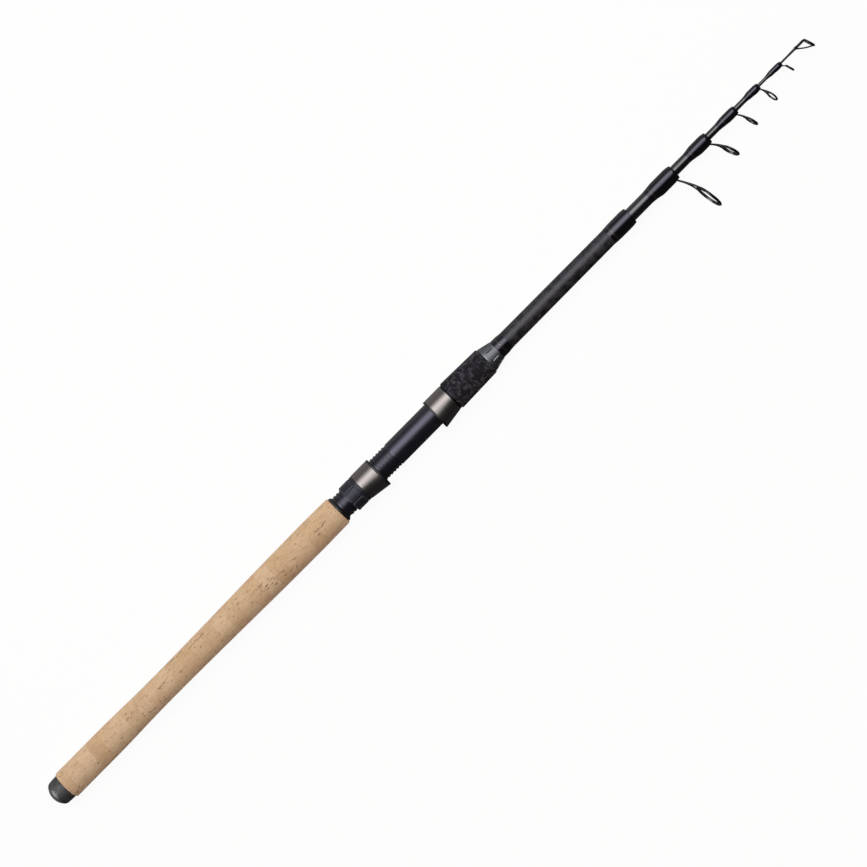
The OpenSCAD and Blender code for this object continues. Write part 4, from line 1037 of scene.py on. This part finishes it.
stage = {  # heights and bands of the floor are in millimetres, lamps and camera in metres
    "floor": -13.4, "floorSize": 120.0, "floorColour": "#f3eee9", "glow": 0.94,
    "mirrored": (0.055, 0.45), "mirroredFrom": (-10, 40), "world": (0.04, 0.32), "worldFrom": (-0.2, 0.9),
    "softbox": (2.2, 2.5), "over": 0.43, "distance": 1.5, "off": 21, "radiance": 3.3,
    "card": (0.85, 0.85), "cardAt": (-0.95, 0.25, 0.3), "cardRadiance": 9.5,
    "fill": (1.8, 0.4), "fillAt": (0.3, -0.9, 0.2), "fillColour": "#ffcba4", "fillRadiance": 0.46,
    "camera": (0.423, -0.01085, 2.08), "roll": -45.317, "lens": 108,
}
half, level = stage["floorSize"] / 2, stage["floor"] * mm
mesh = bpy.data.meshes.new("floor")
mesh.from_pydata([(-half, -half, level), (half, -half, level), (half, half, level), (-half, half, level)],
                 [], [(0, 1, 2, 3)])
# White paper that keeps a soft shadow; it glows white for the camera, and glossy surfaces see a painted glow
# that is paler on the light's side of the rod
paper = bpy.data.materials.new("Paper_white")
paper.use_nodes = True
tree = paper.node_tree
tree.nodes.clear()
rays = addNode(tree, "ShaderNodeLightPath").outputs
spot = addNode(tree, "ShaderNodeTexCoord").outputs["Object"]
across = addNode(tree, "ShaderNodeSeparateXYZ", {0: spot}).outputs
behind = addNode(tree, "ShaderNodeMath", {0: across["X"], 1: 0.0}, operation="MINIMUM")
side = addNode(tree, "ShaderNodeMath", {0: across["Y"], 1: behind}, operation="SUBTRACT")
mirrored = addNode(tree, "ShaderNodeMapRange", {
    0: side, 1: stage["mirroredFrom"][0] * mm, 2: stage["mirroredFrom"][1] * mm,
    3: stage["mirrored"][0], 4: stage["mirrored"][1]})
seen = addNode(tree, "ShaderNodeMath", {
    0: rays["Is Camera Ray"], 1: rays["Is Transmission Ray"]}, operation="MAXIMUM")
bright = addNode(tree, "ShaderNodeMix", {0: seen, 2: mirrored, 3: 1.0}, data_type="FLOAT")
direct = addNode(tree, "ShaderNodeMath", {0: seen, 1: stage["glow"]}, operation="MULTIPLY")
part = addNode(tree, "ShaderNodeMath", {0: direct, 1: rays["Is Glossy Ray"]}, operation="MAXIMUM")
matt = addNode(tree, "ShaderNodeBsdfDiffuse", {"Color": stage["floorColour"]})
glow = addNode(tree, "ShaderNodeEmission", {"Color": "#ffffff", "Strength": bright})
blend = addNode(tree, "ShaderNodeMixShader", {0: part, 1: matt, 2: glow})
addNode(tree, "ShaderNodeOutputMaterial", {"Surface": blend})
newPiece("floor", mesh, paper)

# A pale room, brighter on the light's side
world = bpy.data.worlds.new("studio")
world.use_nodes = True
tree = world.node_tree
toward = addNode(tree, "ShaderNodeSeparateXYZ", {0: addNode(tree, "ShaderNodeTexCoord").outputs["Generated"]})
fill = addNode(tree, "ShaderNodeMapRange", {
    0: toward.outputs["Y"], 1: stage["worldFrom"][0], 2: stage["worldFrom"][1], 3: stage["world"][0],
    4: stage["world"][1]})
setInputs(tree, tree.nodes["Background"], {"Color": "#ffffff", "Strength": fill})
bpy.context.scene.world = world


# An area lamp as bright as its radiance, turned to the origin
def makeCard(name, size, at, radiance, colour):
    lamp = bpy.data.lights.new(name, "AREA")
    lamp.shape = "RECTANGLE"
    lamp.size, lamp.size_y = size
    lamp.color = linear(colour)[:3]
    lamp.energy = radiance * math.pi * lamp.size * lamp.size_y
    card = bpy.data.objects.new(name, lamp)
    card.location = at
    card.rotation_euler = Vector(at).to_track_quat("Z", "Y").to_euler()
    card.visible_camera = False
    bpy.context.scene.collection.objects.link(card)
    return card


# A long softbox over the rod, brightest along its middle and faded to its long edges
reach, tiltBack = stage["distance"], math.radians(stage["off"])
softboxAt = stage["over"], reach * math.sin(tiltBack), reach * math.cos(tiltBack)
softbox = makeCard("softbox", stage["softbox"], softboxAt, 1.0, "#ffffff")
softbox.rotation_euler = (-tiltBack, 0, 0)  # square to the rod, leaning back from straight above it
softbox.data.use_nodes = True
tree = softbox.data.node_tree
onLamp = addNode(tree, "ShaderNodeNewGeometry").outputs["Parametric"]
spread = addNode(tree, "ShaderNodeSeparateXYZ", {0: onLamp})
inward = addNode(tree, "ShaderNodeMath", {0: spread.outputs["Y"], 1: 0.5}, operation="PINGPONG")
fade = addNode(tree, "ShaderNodeMapRange", {0: inward, 1: 0, 2: 0.5, 3: 0, 4: stage["radiance"]},
               interpolation_type="SMOOTHSTEP")
setInputs(tree, tree.nodes["Emission"], {"Strength": fade})

# A card behind the butt that only gloss shows, for the gleam on the cap's bevel, and a warm dim one on the
# shaded side that gloss does not show
endCard = makeCard("end_card", stage["card"], stage["cardAt"], stage["cardRadiance"], "#ffffff")
endCard.visible_diffuse = False
warmFill = makeCard("warm_fill", stage["fill"], stage["fillAt"], stage["fillRadiance"], stage["fillColour"])
warmFill.visible_glossy = False

lens = bpy.data.cameras.new("camera")
lens.lens, lens.sensor_width, lens.clip_end = stage["lens"], 36, 200
camera = bpy.data.objects.new("camera", lens)
camera.location = stage["camera"]
camera.rotation_euler = (0, 0, math.radians(stage["roll"]))
bpy.context.scene.collection.objects.link(camera)
bpy.context.scene.camera = camera
bpy.context.scene.view_settings.view_transform = "Standard"
print("stage: set")
